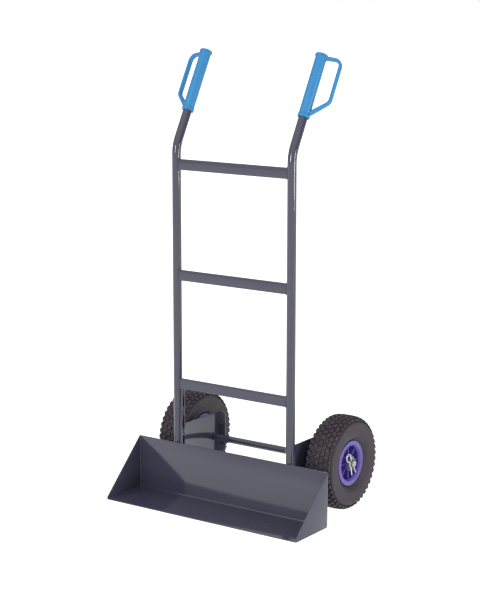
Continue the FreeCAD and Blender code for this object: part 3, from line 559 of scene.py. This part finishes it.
# %% Turned pieces
def turned(bm, profile, steps, centre, axis=X_AXIS, out=Y_AXIS, closed=True):
    """Spins a profile of (along the axis, radius) points all the way round an axis."""
    points = [centre + axis * along + out * radius for along, radius in profile]
    verts = [bm.verts.new(point) for point in points]
    pairs = list(zip(verts, verts[1:]))
    if closed:
        pairs.append((verts[-1], verts[0]))
    edges = [bm.edges.new(pair) for pair in pairs]
    bmesh.ops.spin(bm, geom=verts + edges, cent=centre, axis=axis, angle=math.tau, steps=steps,
                   use_merge=True, use_normal_flip=False, use_duplicate=False)


def arc(centre, radius, start, end, steps):
    """Points of a circular arc in a profile; the angles are in degrees from the first axis."""
    turn = [math.radians(start + (end - start) * i / steps) for i in range(steps + 1)]
    return [(centre[0] + radius * math.cos(angle), centre[1] + radius * math.sin(angle)) for angle in turn]


# %% [markdown]
# ## Measures taken from the frame
# Places are read from the CAD parts' boxes, so the new pieces cannot drift from them. The few sizes that a
# box cannot tell, such as a bend's radius, are written once, where they are first needed.

# %% Read the truck's places
upright_low, upright_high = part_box("right_upright")
TUBE_R = (upright_high.x - upright_low.x) / 2
TUBE_X = (upright_high.x + upright_low.x) / 2
TUBE_Y = upright_low.y + TUBE_R
TUBE_FOOT = upright_low.z
TUBE_WALL = 2.0 * MM
BEND_Z, BEND_R, LEAN, HANDLE_REACH = 0.985, 0.100, math.radians(29), 0.283
HANDLE = Vector((0, math.sin(LEAN), math.cos(LEAN)))
print("tube radius", round(TUBE_R, 4), "handle direction", [round(value, 3) for value in HANDLE])

# %% Read the wheels' and the axle's places
tyre_low, tyre_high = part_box("right_tyre")
WHEEL_R = (tyre_high.z - tyre_low.z) / 2
TYRE_HALF = (tyre_high.x - tyre_low.x) / 2
WHEEL_X, AXLE_Y, AXLE_Z = (tyre_low + tyre_high) / 2
axle_low, axle_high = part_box("axle")
AXLE_R, AXLE_HALF = (axle_high.z - axle_low.z) / 2, axle_high.x
AXLE_LINE = Vector((0, AXLE_Y, AXLE_Z))


def wheel_centre(side):
    """The middle of a side's wheel, on the axle's line."""
    return AXLE_LINE + X_AXIS * SIDES[side] * WHEEL_X


print("wheel radius", round(WHEEL_R, 4), "axle radius", round(AXLE_R, 4))

# %% [markdown]
# ## The uprights
# Each upright is one tube, bent back once for the handle. A curve with a round bevel would give its outside
# in one step, but no bore. So a circle is pushed up the straight run, round the bend and along the handle,
# and again with a smaller circle for the bore. The two ends are bridged, and the open foot shows a real
# wall.

# %% Sweep the uprights
def make_upright(side):
    x = SIDES[side] * TUBE_X
    foot = Vector((x, TUBE_Y, TUBE_FOOT))
    bend = Vector((x, TUBE_Y, BEND_Z))
    route = rounded_route([(foot, 0), (bend, BEND_R), (bend + HANDLE * HANDLE_REACH, 0)], X_AXIS,
                          math.radians(2.5))
    bm = bmesh.new()
    ends = []
    for radius in (TUBE_R, TUBE_R - TUBE_WALL):
        first = ring_of_edges(bm, radius, route[0], 48)
        ends.append((first, sweep(bm, first, route)))
    for outer, inner in zip(*ends):
        bmesh.ops.bridge_loops(bm, edges=outer + inner)
    soften(bm, 0.4 * MM, math.radians(60))
    finish(bm, f"{side}_upright_tube", "charcoal_paint", "frame", f"{side}_upright")


for side in SIDES:
    make_upright(side)

# %% [markdown]
# ## The crossbars
# Flat bar, sawn and coped so that its ends hug the tubes. A boolean could cut the cope out of a long bar,
# but it leaves untidy faces at the rim. Instead the outline seen from above already has a short arc at each
# end. It is pushed up by the bar's height, and the edges are rounded as the rolling mill leaves them.

# %% Push up the crossbars
CROSSBARS = ("upper_crossbar", "middle_crossbar", "lower_crossbar")
COPE_STEPS, COPE_GAP = 4, 0.1 * MM


def make_crossbar(name):
    low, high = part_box(name)
    cope = TUBE_R + COPE_GAP
    bm = bmesh.new()
    depths = [low.y + (high.y - low.y) * i / COPE_STEPS for i in range(COPE_STEPS + 1)]
    reach = [TUBE_X - math.sqrt(cope ** 2 - (y - TUBE_Y) ** 2) for y in depths]
    right_end = [(x, y, low.z) for x, y in zip(reach, depths)]
    left_end = [(-x, y, z) for x, y, z in reversed(right_end)]
    plate(bm, right_end + left_end, Z_AXIS * (high.z - low.z))
    soften(bm, 0.7 * MM, segments=3)
    finish(bm, f"{name}_flat", "charcoal_paint", "frame", name)


for bar_name in CROSSBARS:
    make_crossbar(bar_name)

# %% [markdown]
# ## The scoop
# One sheet is folded into a back and a floor, and a triangular plate closes each end. A flat sheet could be
# bent with a modifier and thickened; an L section pushed across the truck is simpler, because the fold is
# then just a bevel with a large radius on its two long edges. The cut edges get a small one.

# %% Fold the scoop and its end plates
SHEET, FOLD_IN, FOLD_OUT = 3.0 * MM, 3.0 * MM, 6.0 * MM
NOSE, PLATE_CORNER = 8.0 * MM, 2.0 * MM


def make_scoop():
    low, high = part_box("toe_scoop")
    bm = bmesh.new()
    section = [(low.y, 0), (high.y, 0), (high.y, high.z), (high.y - SHEET, high.z),
               (high.y - SHEET, SHEET), (low.y, SHEET)]
    plate(bm, [(low.x, y, z) for y, z in section], X_AXIS * (high.x - low.x))
    round_edges(bm, X_AXIS, [Vector((0, high.y, 0))], FOLD_OUT, 8)
    round_edges(bm, X_AXIS, [Vector((0, high.y - SHEET, SHEET))], FOLD_IN, 8)
    soften(bm, 0.6 * MM)
    finish(bm, "toe_scoop_sheet", "charcoal_paint", "frame", "toe_scoop")


def make_end_plate(side):
    low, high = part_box(f"{side}_toe_gusset")
    bm = bmesh.new()
    outline = [(low.y, 0), (high.y, 0), (high.y, high.z), (high.y - SHEET, high.z), (low.y, NOSE)]
    plate(bm, [(low.x, y, z) for y, z in outline], X_AXIS * (high.x - low.x))
    round_edges(bm, X_AXIS, [Vector((0, high.y, 0))], FOLD_OUT, 8)
    round_edges(bm, X_AXIS, [Vector((0, high.y, high.z))], PLATE_CORNER, 4)
    soften(bm, 0.7 * MM)
    finish(bm, f"{side}_toe_end_plate", "charcoal_paint", "frame", f"{side}_toe_gusset")


make_scoop()
for side in SIDES:
    make_end_plate(side)

# %% [markdown]
# ## The wheel brackets
# A folded channel stands behind each upright and carries the axle. Its web runs from front to back, its
# rear flange stiffens it, and its front flange is welded to the tube, with a tongue that reaches up to the
# lower crossbar. The channel's section is pushed up, as the scoop's is pushed across, and the tongue is a
# strip of its own.

# %% Fold the brackets
BRACKET_TOP, BRACKET_GAUGE, BRACKET_BEND = 0.199, 3.0 * MM, 1.0 * MM
REAR_FLANGE, WELD_FLANGE = 25.0 * MM, 12.5 * MM


def make_bracket(side):
    sign = SIDES[side]
    low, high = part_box(f"{side}_wheel_bracket")
    outer = high.x if sign > 0 else low.x
    front, rear, bottom, tongue_top = low.y, high.y, low.z, high.z
    t = BRACKET_GAUGE
    bm = bmesh.new()
    section = [(WELD_FLANGE, front), (0, front), (0, rear), (REAR_FLANGE, rear), (REAR_FLANGE, rear - t),
               (t, rear - t), (t, front + t), (WELD_FLANGE, front + t)]
    plate(bm, [(outer - sign * inset, y, bottom) for inset, y in section], Z_AXIS * (BRACKET_TOP - bottom))
    outside = [Vector((outer, front, 0)), Vector((outer, rear, 0))]
    inside = [Vector((outer - sign * t, y, 0)) for y in (front + t, rear - t)]
    round_edges(bm, Z_AXIS, outside, BRACKET_BEND + t, 6)
    round_edges(bm, Z_AXIS, inside, BRACKET_BEND, 4)
    soften(bm, 0.5 * MM)
    finish(bm, f"{side}_bracket_channel", "charcoal_paint", "frame", f"{side}_wheel_bracket")
    tongue = bmesh.new()
    inset = BRACKET_BEND + t
    edges = [(WELD_FLANGE, front), (inset, front), (inset, front + t), (WELD_FLANGE, front + t)]
    plate(tongue, [(outer - sign * x, y, BRACKET_TOP - t) for x, y in edges],
          Z_AXIS * (tongue_top - BRACKET_TOP + t))
    soften(tongue, 0.5 * MM)
    finish(tongue, f"{side}_bracket_tongue", "charcoal_paint", "frame")


for side in SIDES:
    make_bracket(side)

# %% [markdown]
# ## The weld beads
# Arc welding leaves a rope of small overlapping ripples where two parts meet. A bump map could only hint at
# it, so each bead is a thin rod swept along the joint, whose size swells at every ripple and tapers at both
# ends. Half of it is buried in the parts, which makes it look like a fillet.

# %% Lay a bead
RIPPLE, BEAD_STEP = 2.6 * MM, 0.65 * MM


def evenly(points, step):
    """Points along a polyline at even distances, with both ends kept."""
    spots = []
    for start, end in zip(points, points[1:]):
        count = max(1, round((end - start).length / step))
        spots += [start.lerp(end, i / count) for i in range(count)]
    return spots + [points[-1]]


def lay_bead(bm, points, radius):
    """A rippled rod along a polyline of points."""
    spots = evenly([Vector(point) for point in points], BEAD_STEP)
    frames, up = [], None
    for i, spot in enumerate(spots):
        along = (spots[min(i + 1, len(spots) - 1)] - spots[max(i - 1, 0)]).normalized()
        across = (up.cross(along) if up else along.orthogonal()).normalized()
        up = along.cross(across)
        turn = Matrix((across, up, along)).transposed().to_4x4()
        frames.append(Matrix.Translation(spot) @ turn)
    sizes = []
    for i in range(len(spots)):
        from_end = min(i, len(spots) - 1 - i) * BEAD_STEP
        taper = math.sqrt(min(1.0, 0.15 + from_end / (1.3 * radius)))
        sizes.append(taper * (0.92 + 0.16 * abs(math.sin(math.pi * i * BEAD_STEP / RIPPLE))))
    bead = bmesh.new()
    rod(bead, radius * sizes[0], frames, 10, [size / sizes[0] for size in sizes])
    join(bm, bead)


def lay_beads(name, radius, lines):
    """One piece with a bead along each line; every line is laid on both sides of the truck."""
    bm = bmesh.new()
    for line in lines:
        for sign in SIDES.values():
            lay_bead(bm, [(sign * x, y, z) for x, y, z in line], radius)
    finish(bm, name, "charcoal_paint", "frame")


def upright_seams(x, y, heights, length):
    """Short vertical lines at one place, one from each height."""
    return [[(x, y, z), (x, y, z + length)] for z in heights]


# %% Weld the crossbars to the tubes
bar_lines = []
for bar_name in CROSSBARS:
    low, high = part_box(bar_name)
    near, far = high.x - 0.4 * MM, high.x - 2.8 * MM
    bar_lines.append([(near, low.y, low.z + MM), (near, low.y, high.z - MM), (near, low.y, high.z),
                      (far, high.y, high.z), (far, high.y, low.z), (near, low.y, low.z)])
lay_beads("crossbar_welds", 1.7 * MM, bar_lines)

# %% Weld the scoop to the tubes and its end plates to the sheet
SCOOP_SEAMS, SCOOP_SEAM = (0.018, 0.064, 0.110), 28 * MM
SEAM_ASIDE, SEAM_BEHIND = 6.8 * MM, 1.2 * MM

plate_low, plate_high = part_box("toe_scoop")
seam_y = plate_high.y + SEAM_BEHIND
lay_beads("scoop_welds", 2.3 * MM,
          upright_seams(TUBE_X - SEAM_ASIDE, seam_y, SCOOP_SEAMS, SCOOP_SEAM)
          + upright_seams(TUBE_X + SEAM_ASIDE, seam_y, SCOOP_SEAMS, SCOOP_SEAM))
inner_x, front_y, floor_top = plate_high.x, plate_high.y - SHEET, SHEET
lay_beads("end_plate_welds", 1.3 * MM,
          [[(inner_x, front_y, plate_high.z - 4 * MM), (inner_x, front_y, FOLD_IN + floor_top),
            (inner_x, front_y - MM, floor_top + 1.5 * MM), (inner_x, front_y - FOLD_IN, floor_top),
            (inner_x, plate_low.y + 4 * MM, floor_top)]])

# %% Weld the brackets and the axle
WEB_SEAMS, TONGUE_SEAMS, BRACKET_SEAM = (0.070, 0.118, 0.166), (0.226, 0.281), 26 * MM
RING_R, RING_ARC, RING_STEPS = AXLE_R + 0.8 * MM, 100, 20

bracket_low, bracket_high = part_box("right_wheel_bracket")
flange_x, flange_y = bracket_high.x - WELD_FLANGE + 1.9 * MM, bracket_low.y - 1.6 * MM
lay_beads("bracket_welds", 2.3 * MM,
          upright_seams(flange_x, flange_y, WEB_SEAMS + TONGUE_SEAMS, BRACKET_SEAM)
          + upright_seams(bracket_high.x + 1.3 * MM, bracket_low.y + 0.7 * MM, WEB_SEAMS, BRACKET_SEAM))
web_x = bracket_high.x - BRACKET_GAUGE
rings = []
for start in (-75, 50, 170):
    around = [math.radians(start + RING_ARC * i / RING_STEPS) for i in range(RING_STEPS + 1)]
    rings.append([(web_x, AXLE_Y + RING_R * math.sin(turn), AXLE_Z + RING_R * math.cos(turn))
                  for turn in around])
lay_beads("axle_welds", 2.0 * MM, rings)

# %% [markdown]
# ## The axle, its washers and the spacers
# The axle is a round bar, chamfered at both ends on a lathe; washers are punched and the spacers sawn from
# tube. A primitive cylinder has sharp rims and no bore, so each part is a profile spun about the axle's
# line, and its edges are broken afterwards, as a file or a tumbling drum does.

# %% Turn the axle and the rings on it
CHAMFER, BORE_GAP = 1.5 * MM, 0.2 * MM


def make_axle():
    half, waist = AXLE_HALF - CHAMFER, AXLE_R - CHAMFER
    bm = bmesh.new()
    profile = [(-AXLE_HALF, 0), (-AXLE_HALF, waist), (-half, AXLE_R), (half, AXLE_R), (AXLE_HALF, waist),
               (AXLE_HALF, 0)]
    turned(bm, profile, 48, AXLE_LINE, closed=False)
    soften(bm, 0.3 * MM, math.radians(40))
    finish(bm, "axle_bar", "axle_steel", "frame", "axle")


def make_axle_ring(node_name):
    """A washer or spacer: a square-cut ring whose bore clears the axle."""
    low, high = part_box(node_name)
    outer, bore = (high.z - low.z) / 2, AXLE_R + BORE_GAP
    bm = bmesh.new()
    turned(bm, [(low.x, bore), (low.x, outer), (high.x, outer), (high.x, bore)], 64, AXLE_LINE)
    soften(bm, 0.35 * MM)
    finish(bm, f"{node_name}_ring", "zinc_steel", "frame", node_name)


make_axle()
for side in SIDES:
    for ring_name in ("axle_spacer", "inner_washer", "outer_washer"):
        make_axle_ring(f"{side}_{ring_name}")

# %% [markdown]
# ## The spring clips
# One length of plated wire: a straight leg through the axle, an eye to pull on, and a leg that bows round
# the axle and snaps behind it. A curve object with a bevel depth would do for a drawing; here the route is
# laid out as a wire bender would, corners with a radius each, and a circle is swept along it, so that both
# ends are closed and rounded.

# %% Bend the spring clips
WIRE_R, CLIP_TILT = 1.9 * MM, math.radians(60)
WIRE, CLEAR, EYE, LEG = 4.0 * MM, 12.3 * MM, 11.0 * MM, 33.0 * MM


def make_clip(side):
    low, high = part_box(f"{side}_r_clip")
    neck = CLEAR + 0.75 * WIRE
    back = neck + 2.05 * EYE
    corners = [(LEG, 0, 0), (-neck, 0, WIRE), (-back, -0.4 * EYE, 0.88 * EYE),
               (-back, 1.6 * EYE, 0.93 * EYE), (-neck - 0.1 * EYE, 1.6 * EYE, 0.88 * EYE),
               (-neck, 1.1 * WIRE, 0.6 * WIRE), (-0.5 * CLEAR, 1.08 * CLEAR, 0.4 * CLEAR),
               (0.6 * CLEAR, 1.03 * CLEAR, CLEAR), (0.8 * LEG, 1.5 * CLEAR, 0)]
    tilt = Matrix.Rotation(-CLIP_TILT, 3, "X")
    centre = Vector(((low.x + high.x) / 2, AXLE_Y, AXLE_Z))
    points = [(centre + tilt @ Vector((0, along, -across)), radius) for along, across, radius in corners]
    bm = bmesh.new()
    rod(bm, WIRE_R, rounded_route(points, X_AXIS, math.radians(9)), 20)
    soften(bm, 0.8 * MM, math.radians(60))
    finish(bm, f"{side}_spring_clip", "spring_wire", "frame", f"{side}_r_clip")


for side in SIDES:
    make_clip(side)

# %% [markdown]
# ## The handgrips
# A soft plastic moulding: a sleeve with a domed flange at the top and a collar below, and a flat strip that
# guards the knuckles. It could be sculpted from one block, but each half has a plain way: the sleeve is
# spun from its profile, and the strip is a rounded rectangle swept along a route with two bends, a little
# larger at both ends, where the mould fillets it into the sleeve.

# %% Turn the sleeve's profile
GRIP_START, GRIP_LENGTH, GRIP_R, GRIP_BORE = 0.105, 0.183, 15.5 * MM, 12.6 * MM
FLANGE_R, FLANGE_H, COLLAR_R, COLLAR_H = 18.0 * MM, 8.0 * MM, 17.0 * MM, 10.0 * MM
COLLAR_ROUND, FLANGE_ROUND, DOME = 2.5 * MM, 2.2 * MM, 4.0 * MM


def grip_profile():
    """Half section of the sleeve: along the handle and out from its centre line."""
    top, depth = GRIP_LENGTH, HANDLE_REACH - GRIP_START
    neck = top - FLANGE_H
    collar = arc((COLLAR_ROUND, COLLAR_R - COLLAR_ROUND), COLLAR_ROUND, 180, 90, 5)
    collar += arc((COLLAR_H - COLLAR_ROUND, COLLAR_R - COLLAR_ROUND), COLLAR_ROUND, 90, 0, 5)
    flange = arc((neck + FLANGE_ROUND, FLANGE_R - FLANGE_ROUND), FLANGE_ROUND, 180, 90, 5)
    dome = arc((top - DOME, FLANGE_R - DOME), DOME, 90, 12, 6)
    waist = [(COLLAR_H + 2.0 * MM, GRIP_R), (neck - 2.0 * MM, GRIP_R)]
    inside = [(0, GRIP_BORE), (depth, GRIP_BORE), (depth, 0)]
    return [(top, 0)] + dome[::-1] + flange[::-1] + waist[::-1] + collar[::-1] + inside


print("sleeve profile:", len(grip_profile()), "points")

# %% Add the guard
GUARD_REACH, GUARD_T, GUARD_W, GUARD_R = 58.5 * MM, 9.0 * MM, 13.0 * MM, 19.0 * MM
GUARD_TOP, GUARD_ELBOW, GUARD_FOOT, GUARD_SWING = 0.1735, 0.0535, 0.0135, math.radians(16)
GUARD_EDGE, GUARD_SINK, FLARE = 3.4 * MM, 1.6 * MM, 1.15


def make_handgrip(side):
    sign = SIDES[side]
    base = Vector((sign * TUBE_X, TUBE_Y, BEND_Z)) + HANDLE * GRIP_START
    rearward = Vector((0, math.cos(LEAN), -math.sin(LEAN)))
    outward = X_AXIS * sign * math.cos(GUARD_SWING) + rearward * math.sin(GUARD_SWING)
    bm = bmesh.new()
    turned(bm, grip_profile(), 64, base, axis=HANDLE, out=outward, closed=False)
    root = GRIP_R - GUARD_SINK
    spots = [(GUARD_TOP, root, 0), (GUARD_TOP, GUARD_REACH, GUARD_R), (GUARD_ELBOW, GUARD_REACH, GUARD_R),
             (GUARD_FOOT, root, 0)]
    points = [(base + HANDLE * along + outward * out, radius) for along, out, radius in spots]
    normal = HANDLE.cross(outward).normalized()
    route = rounded_route(points, normal, math.radians(6))
    square = [(-1, -1), (1, -1), (1, 1), (-1, 1)]
    across, deep = GUARD_W * FLARE / 2, GUARD_T * FLARE / 2
    corners = [route[0] @ Vector((x * across, y * deep, 0)) for x, y in square]
    strip = bmesh.new()
    face = strip.faces.new([strip.verts.new(corner) for corner in corners])
    bevel(strip, face.verts[:], GUARD_EDGE, 5, affect="VERTICES")
    loop = strip.edges[:]
    bmesh.ops.delete(strip, geom=strip.faces[:], context="FACES_ONLY")
    flare = [max(1.0, FLARE - (FLARE - 1) * min(i, len(route) - 1 - i)) for i in range(len(route))]
    last = sweep(strip, loop, route, flare)
    for ring in (loop, last):
        bmesh.ops.contextual_create(strip, geom=ring)
    join(bm, strip)
    finish(bm, f"{side}_moulded_grip", "blue_grip", "frame", f"{side}_handgrip")


for side in SIDES:
    make_handgrip(side)

# %% [markdown]
# ## The rims
# Each wheel has two moulded halves, bolted back to back at the wheel's middle plane. A half is a spun
# section: hub, web, barrel and a broad lip, slightly hollow in the middle, that holds the tyre's bead.
# Eight ribs stiffen it, a little thinner at their outer edge so that the mould lets go of them. An array
# modifier could repeat the rib; a loop that turns a new one each time keeps the whole half in one mesh.

# %% The section of a rim half
HUB_BORE, HUB_R, HUB_DEPTH, RIM_WEB = 17.5 * MM, 21.0 * MM, 30.5 * MM, 4.0 * MM
BARREL_R, BARREL_END, BED_R = 46.5 * MM, 26.2 * MM, 50.8 * MM
LIP_IN, LIP_OUT, LIP_FACE, LIP_BACK = 49.5 * MM, 63.0 * MM, 32.2 * MM, 28.2 * MM
LIP_ROUND, LIP_HOLLOW, HUB_ROOT, CORNER_R, BED_END = 2 * MM, 0.9 * MM, 2 * MM, 3 * MM, 23.2 * MM


def rim_profile():
    """Half section of a rim half: distance from the wheel's middle plane, and radius."""
    hub = [(0, HUB_BORE), (HUB_DEPTH, HUB_BORE), (HUB_DEPTH, HUB_R), (RIM_WEB + HUB_ROOT, HUB_R)]
    root = arc((RIM_WEB + HUB_ROOT, HUB_R + HUB_ROOT), HUB_ROOT, 270, 180, 4)[1:]
    corner = arc((RIM_WEB + CORNER_R, BARREL_R - CORNER_R), CORNER_R, 180, 90, 4)
    throat = [(BARREL_END, BARREL_R)] + arc((LIP_FACE - LIP_ROUND, LIP_IN + LIP_ROUND), LIP_ROUND, -50, 0, 4)
    width = LIP_OUT - LIP_IN - 2 * LIP_ROUND
    hollow = [(LIP_FACE - LIP_HOLLOW * math.sin(math.pi * i / 6), LIP_IN + LIP_ROUND + width * i / 6)
              for i in range(1, 6)]
    edge = arc((LIP_FACE - LIP_ROUND, LIP_OUT - LIP_ROUND), LIP_ROUND, 0, 110, 6)
    bed = [(LIP_BACK, LIP_OUT - 0.6 * MM), (BED_END, BED_R), (0, BED_R)]
    return hub + root + corner + throat + hollow + edge + bed


print("rim profile:", len(rim_profile()), "points")

# %% Ribs and rim halves
RIBS, RIB_T, RIB_HUB_X, RIB_RIM_X, RIB_SINK = 8, 3.5 * MM, 22.5 * MM, 24.2 * MM, 0.4 * MM
RIB_TAPER, RIB_EDGE = 0.77, 0.7 * MM


def add_rib(bm):
    """A rib from the hub to the barrel, thinner at its outer edge than at its root."""
    bottom, top_reach = RIM_WEB - RIB_SINK, BARREL_R + RIB_SINK
    corners = [(bottom, HUB_R - RIB_SINK), (RIB_HUB_X, HUB_R - RIB_SINK), (RIB_RIM_X, top_reach),
               (bottom, top_reach)]
    verts = plate(bm, [(x, -RIB_T / 2, radius) for x, radius in corners], Y_AXIS * RIB_T)
    outer = [vert for vert in verts if vert.co.x > bottom + MM]
    for vert in outer:
        vert.co.y *= RIB_TAPER
    long_edges = [edge for edge in bm.edges if edge.verts[0] in outer and edge.verts[1] in outer
                  and abs(edge.verts[0].co.y - edge.verts[1].co.y) < 1e-6]
    bevel(bm, long_edges, RIB_EDGE, 3)


def make_rim_half(side, face):
    """One half; face is the half's name and decides which way its lip looks."""
    sign = SIDES[side] * (1 if face == "outer" else -1)
    bm = bmesh.new()
    turned(bm, rim_profile(), 96, Vector(), out=Z_AXIS)
    bmesh.ops.remove_doubles(bm, verts=bm.verts[:], dist=MERGE)
    for i in range(RIBS):
        rib = bmesh.new()
        add_rib(rib)
        bmesh.ops.rotate(rib, verts=rib.verts[:], cent=Vector(),
                         matrix=Matrix.Rotation(math.tau * i / RIBS, 3, "X"))
        join(bm, rib)
    bmesh.ops.scale(bm, vec=Vector((sign, 1, 1)), verts=bm.verts[:])
    bmesh.ops.translate(bm, vec=wheel_centre(side), verts=bm.verts[:])
    finish(bm, f"{side}_rim_{face}", "violet_plastic", f"{side}_wheel", f"{side}_rim_{face}_half")


for side in SIDES:
    for rim_face in ("outer", "inner"):
        make_rim_half(side, rim_face)

# %% [markdown]
# ## The tyres
# A small pneumatic tyre with a block tread. Its pattern could be a displacement map, but that needs a very
# fine mesh and gives soft blocks; one block copied round the wheel would leave gaps at the casing. So the
# casing is spun first, with the groove floor as its surface: rings of vertices run where the blocks' edges
# will be, and each ring is turned a little, so the blocks come out slanted. Then the faces of each block
# are inset and lifted to the tyre's full size, in two steps that leave a sloped wall and a small chamfer.
# Neighbouring columns of blocks are staggered by half a pitch.

# %% The tyre's measures
PITCHES, ROWS_PER_PITCH, BLOCK_ROWS = 44, 6, 4
SECTION_R, SHOULDER_R, LUG_END_R = 0.096, 0.1200, 0.1165
TREAD_X = [0, 6.2, 8.2, 17.2, 19.2, 27.6, 29.4, 33.5, 36.8]
BLOCK_COLUMNS = [(-6.2, 6.2, 0), (8.2, 17.2, 3), (19.2, 27.6, 0), (29.4, 50.0, 3)]
SLANT = 2.3 * MM
STEPS = PITCHES * ROWS_PER_PITCH
print("tread:", PITCHES, "pitches of", round(1000 * math.tau * WHEEL_R / PITCHES, 1), "mm")

# %% Ovals that a tyre's section follows
# Each is (half width, height from the section's centre, power): a higher power is a squarer oval.
FULL = (TYRE_HALF, WHEEL_R - SECTION_R, 3.8)
FLOOR = (TYRE_HALF - 3.8 * MM, WHEEL_R - SECTION_R - 4.6 * MM, 3.3)
FLANK = (TYRE_HALF - 1.0 * MM, 38.4 * MM, 2.5)
CAVITY = (TYRE_HALF - 9.5 * MM, WHEEL_R - SECTION_R - 6.7 * MM, 3.0)


def radius_on(shape, x):
    """Radius of an oval's outer half at a distance from the middle plane."""
    half_width, height, power = shape
    return SECTION_R + height * (1 - min(abs(x) / half_width, 1) ** power) ** (1 / power)


def width_on(shape, radius):
    """Distance of an oval's side from the middle plane at a radius."""
    half_width, height, power = shape
    return half_width * (1 - (abs(radius - SECTION_R) / height) ** power) ** (1 / power)


def fullness(x, radius, shape):
    """How far a point of the section is towards an oval: 1 is on it."""
    half_width, height, power = shape
    return ((abs(x) / half_width) ** power + (abs(radius - SECTION_R) / height) ** power) ** (1 / power)


print("tyre:", round(2000 * TYRE_HALF), "mm wide, grooves", round(1000 * (FULL[1] - FLOOR[1]), 1), "mm deep")

# %% Half sections of the casing
WALL_STEPS = [(0.1135, 1.3 * MM), (0.1105, 0.5 * MM), (0.1092, 0.3 * MM), (0.1086, -0.1 * MM),
              (0.1080, 0.1 * MM), (0.1030, 0)]
WALL_RADII = (0.094, 0.089, 0.084, 0.079, 0.0745, 0.0705, 0.0672, 0.0648)
BEAD = [(28.0 * MM, 0.0632), (23.0 * MM, 0.0512), (18.0 * MM, 0.0512), (19.5 * MM, 0.0600)]
INNER_WALL = [(25.5 * MM, 0.0680), (30.5 * MM, 0.0780), (CAVITY[0], 0.0900)]
INNER_X = (32.5 * MM, 28.0 * MM, 18.0 * MM)


def casing_half():
    """Half section from the crown to the bead: distance from the middle plane, and radius."""
    tread = [(x * MM, radius_on(FLOOR, x * MM)) for x in TREAD_X]
    shoulder = [(width_on(FLOOR, radius), radius) for radius in (SHOULDER_R, LUG_END_R)]
    wall = [(FLANK[0] - inset, radius) for radius, inset in WALL_STEPS]
    wall += [(width_on(FLANK, radius), radius) for radius in WALL_RADII]
    return tread + shoulder + wall + BEAD


def cavity_half():
    """Half section of the inside, from the bead back to the crown."""
    return INNER_WALL + [(x, radius_on(CAVITY, x)) for x in INNER_X]


print("half section:", len(casing_half()), "points outside,", len(cavity_half()), "inside")

# %% Slant of the rings
ZIGZAG = [(0, 1), (7.2, -1), (18.2, 1), (28.5, -1), (40.0, 0.6), (60.0, 0.6)]


def slant_at(x):
    """Turn of the tread's rings: neighbouring columns of blocks lean opposite ways."""
    for (x0, y0), (x1, y1) in zip(ZIGZAG, ZIGZAG[1:]):
        if abs(x) <= x1 * MM:
            return SLANT / WHEEL_R * (y0 + (y1 - y0) * (abs(x) / MM - x0) / (x1 - x0))
    return 0.0


print("middle ring turned by", round(math.degrees(slant_at(0)), 2), "degrees")

# %% Raise the tread blocks
BLOCK_WALLS = ((0.8 * MM, 0.982), (0.8 * MM, 1.0))
OUTSIDE = 1.03
FADE_FROM, FADE_OVER = 0.100, 0.008


def lift(faces, shape, share):
    """Moves the vertices of faces outwards until they are at a share of an oval's size."""
    for vert in {vert for face in faces for vert in face.verts}:
        x, radius = vert.co.x, math.hypot(vert.co.y, vert.co.z)
        scale = share / fullness(x, radius, shape)
        grown = SECTION_R + (radius - SECTION_R) * scale
        vert.co = Vector((x * scale, vert.co.y * grown / radius, vert.co.z * grown / radius))


def in_block(x, row):
    """Whether a tread face belongs to a block; in a groove it doesn't."""
    return any(near * MM < abs(x) < far * MM and (row - shift) % ROWS_PER_PITCH < BLOCK_ROWS
               for near, far, shift in BLOCK_COLUMNS)


def tyre_loop():
    """The whole closed section, once round the casing and the cavity."""
    outside, inside = casing_half(), cavity_half()
    crown_inside = [(0, SECTION_R + CAVITY[1])]
    mirrored = [(-x, radius) for x, radius in reversed(outside[1:])]
    mirrored_inside = [(-x, radius) for x, radius in reversed(inside)]
    return mirrored + outside + inside + crown_inside + mirrored_inside


def make_tyre(side):
    bm = bmesh.new()
    turned(bm, tyre_loop(), STEPS, Vector(), out=Z_AXIS)
    bmesh.ops.remove_doubles(bm, verts=bm.verts[:], dist=MERGE)
    blocks = []
    for face in bm.faces:
        middle = face.calc_center_median()
        radius = math.hypot(middle.y, middle.z)
        row = int((math.atan2(middle.y, middle.z) % math.tau) / math.tau * STEPS)
        if radius > LUG_END_R and fullness(middle.x, radius, CAVITY) > OUTSIDE and in_block(middle.x, row):
            blocks.append(face)
    for vert in bm.verts:
        radius = math.hypot(vert.co.y, vert.co.z)
        if radius > SECTION_R and fullness(vert.co.x, radius, CAVITY) > OUTSIDE:
            fade = min(1, max(0, (radius - FADE_FROM) / FADE_OVER))
            vert.co.rotate(Matrix.Rotation(-slant_at(vert.co.x) * fade, 3, "X"))
    for width, share in BLOCK_WALLS:
        bmesh.ops.inset_region(bm, faces=blocks, use_boundary=True, use_even_offset=True, thickness=width,
                               depth=0)
        lift(blocks, FULL, share)
    bmesh.ops.translate(bm, vec=wheel_centre(side), verts=bm.verts[:])
    finish(bm, f"{side}_tyre_treaded", "tyre_rubber", f"{side}_wheel", f"{side}_tyre")


for side in SIDES:
    make_tyre(side)
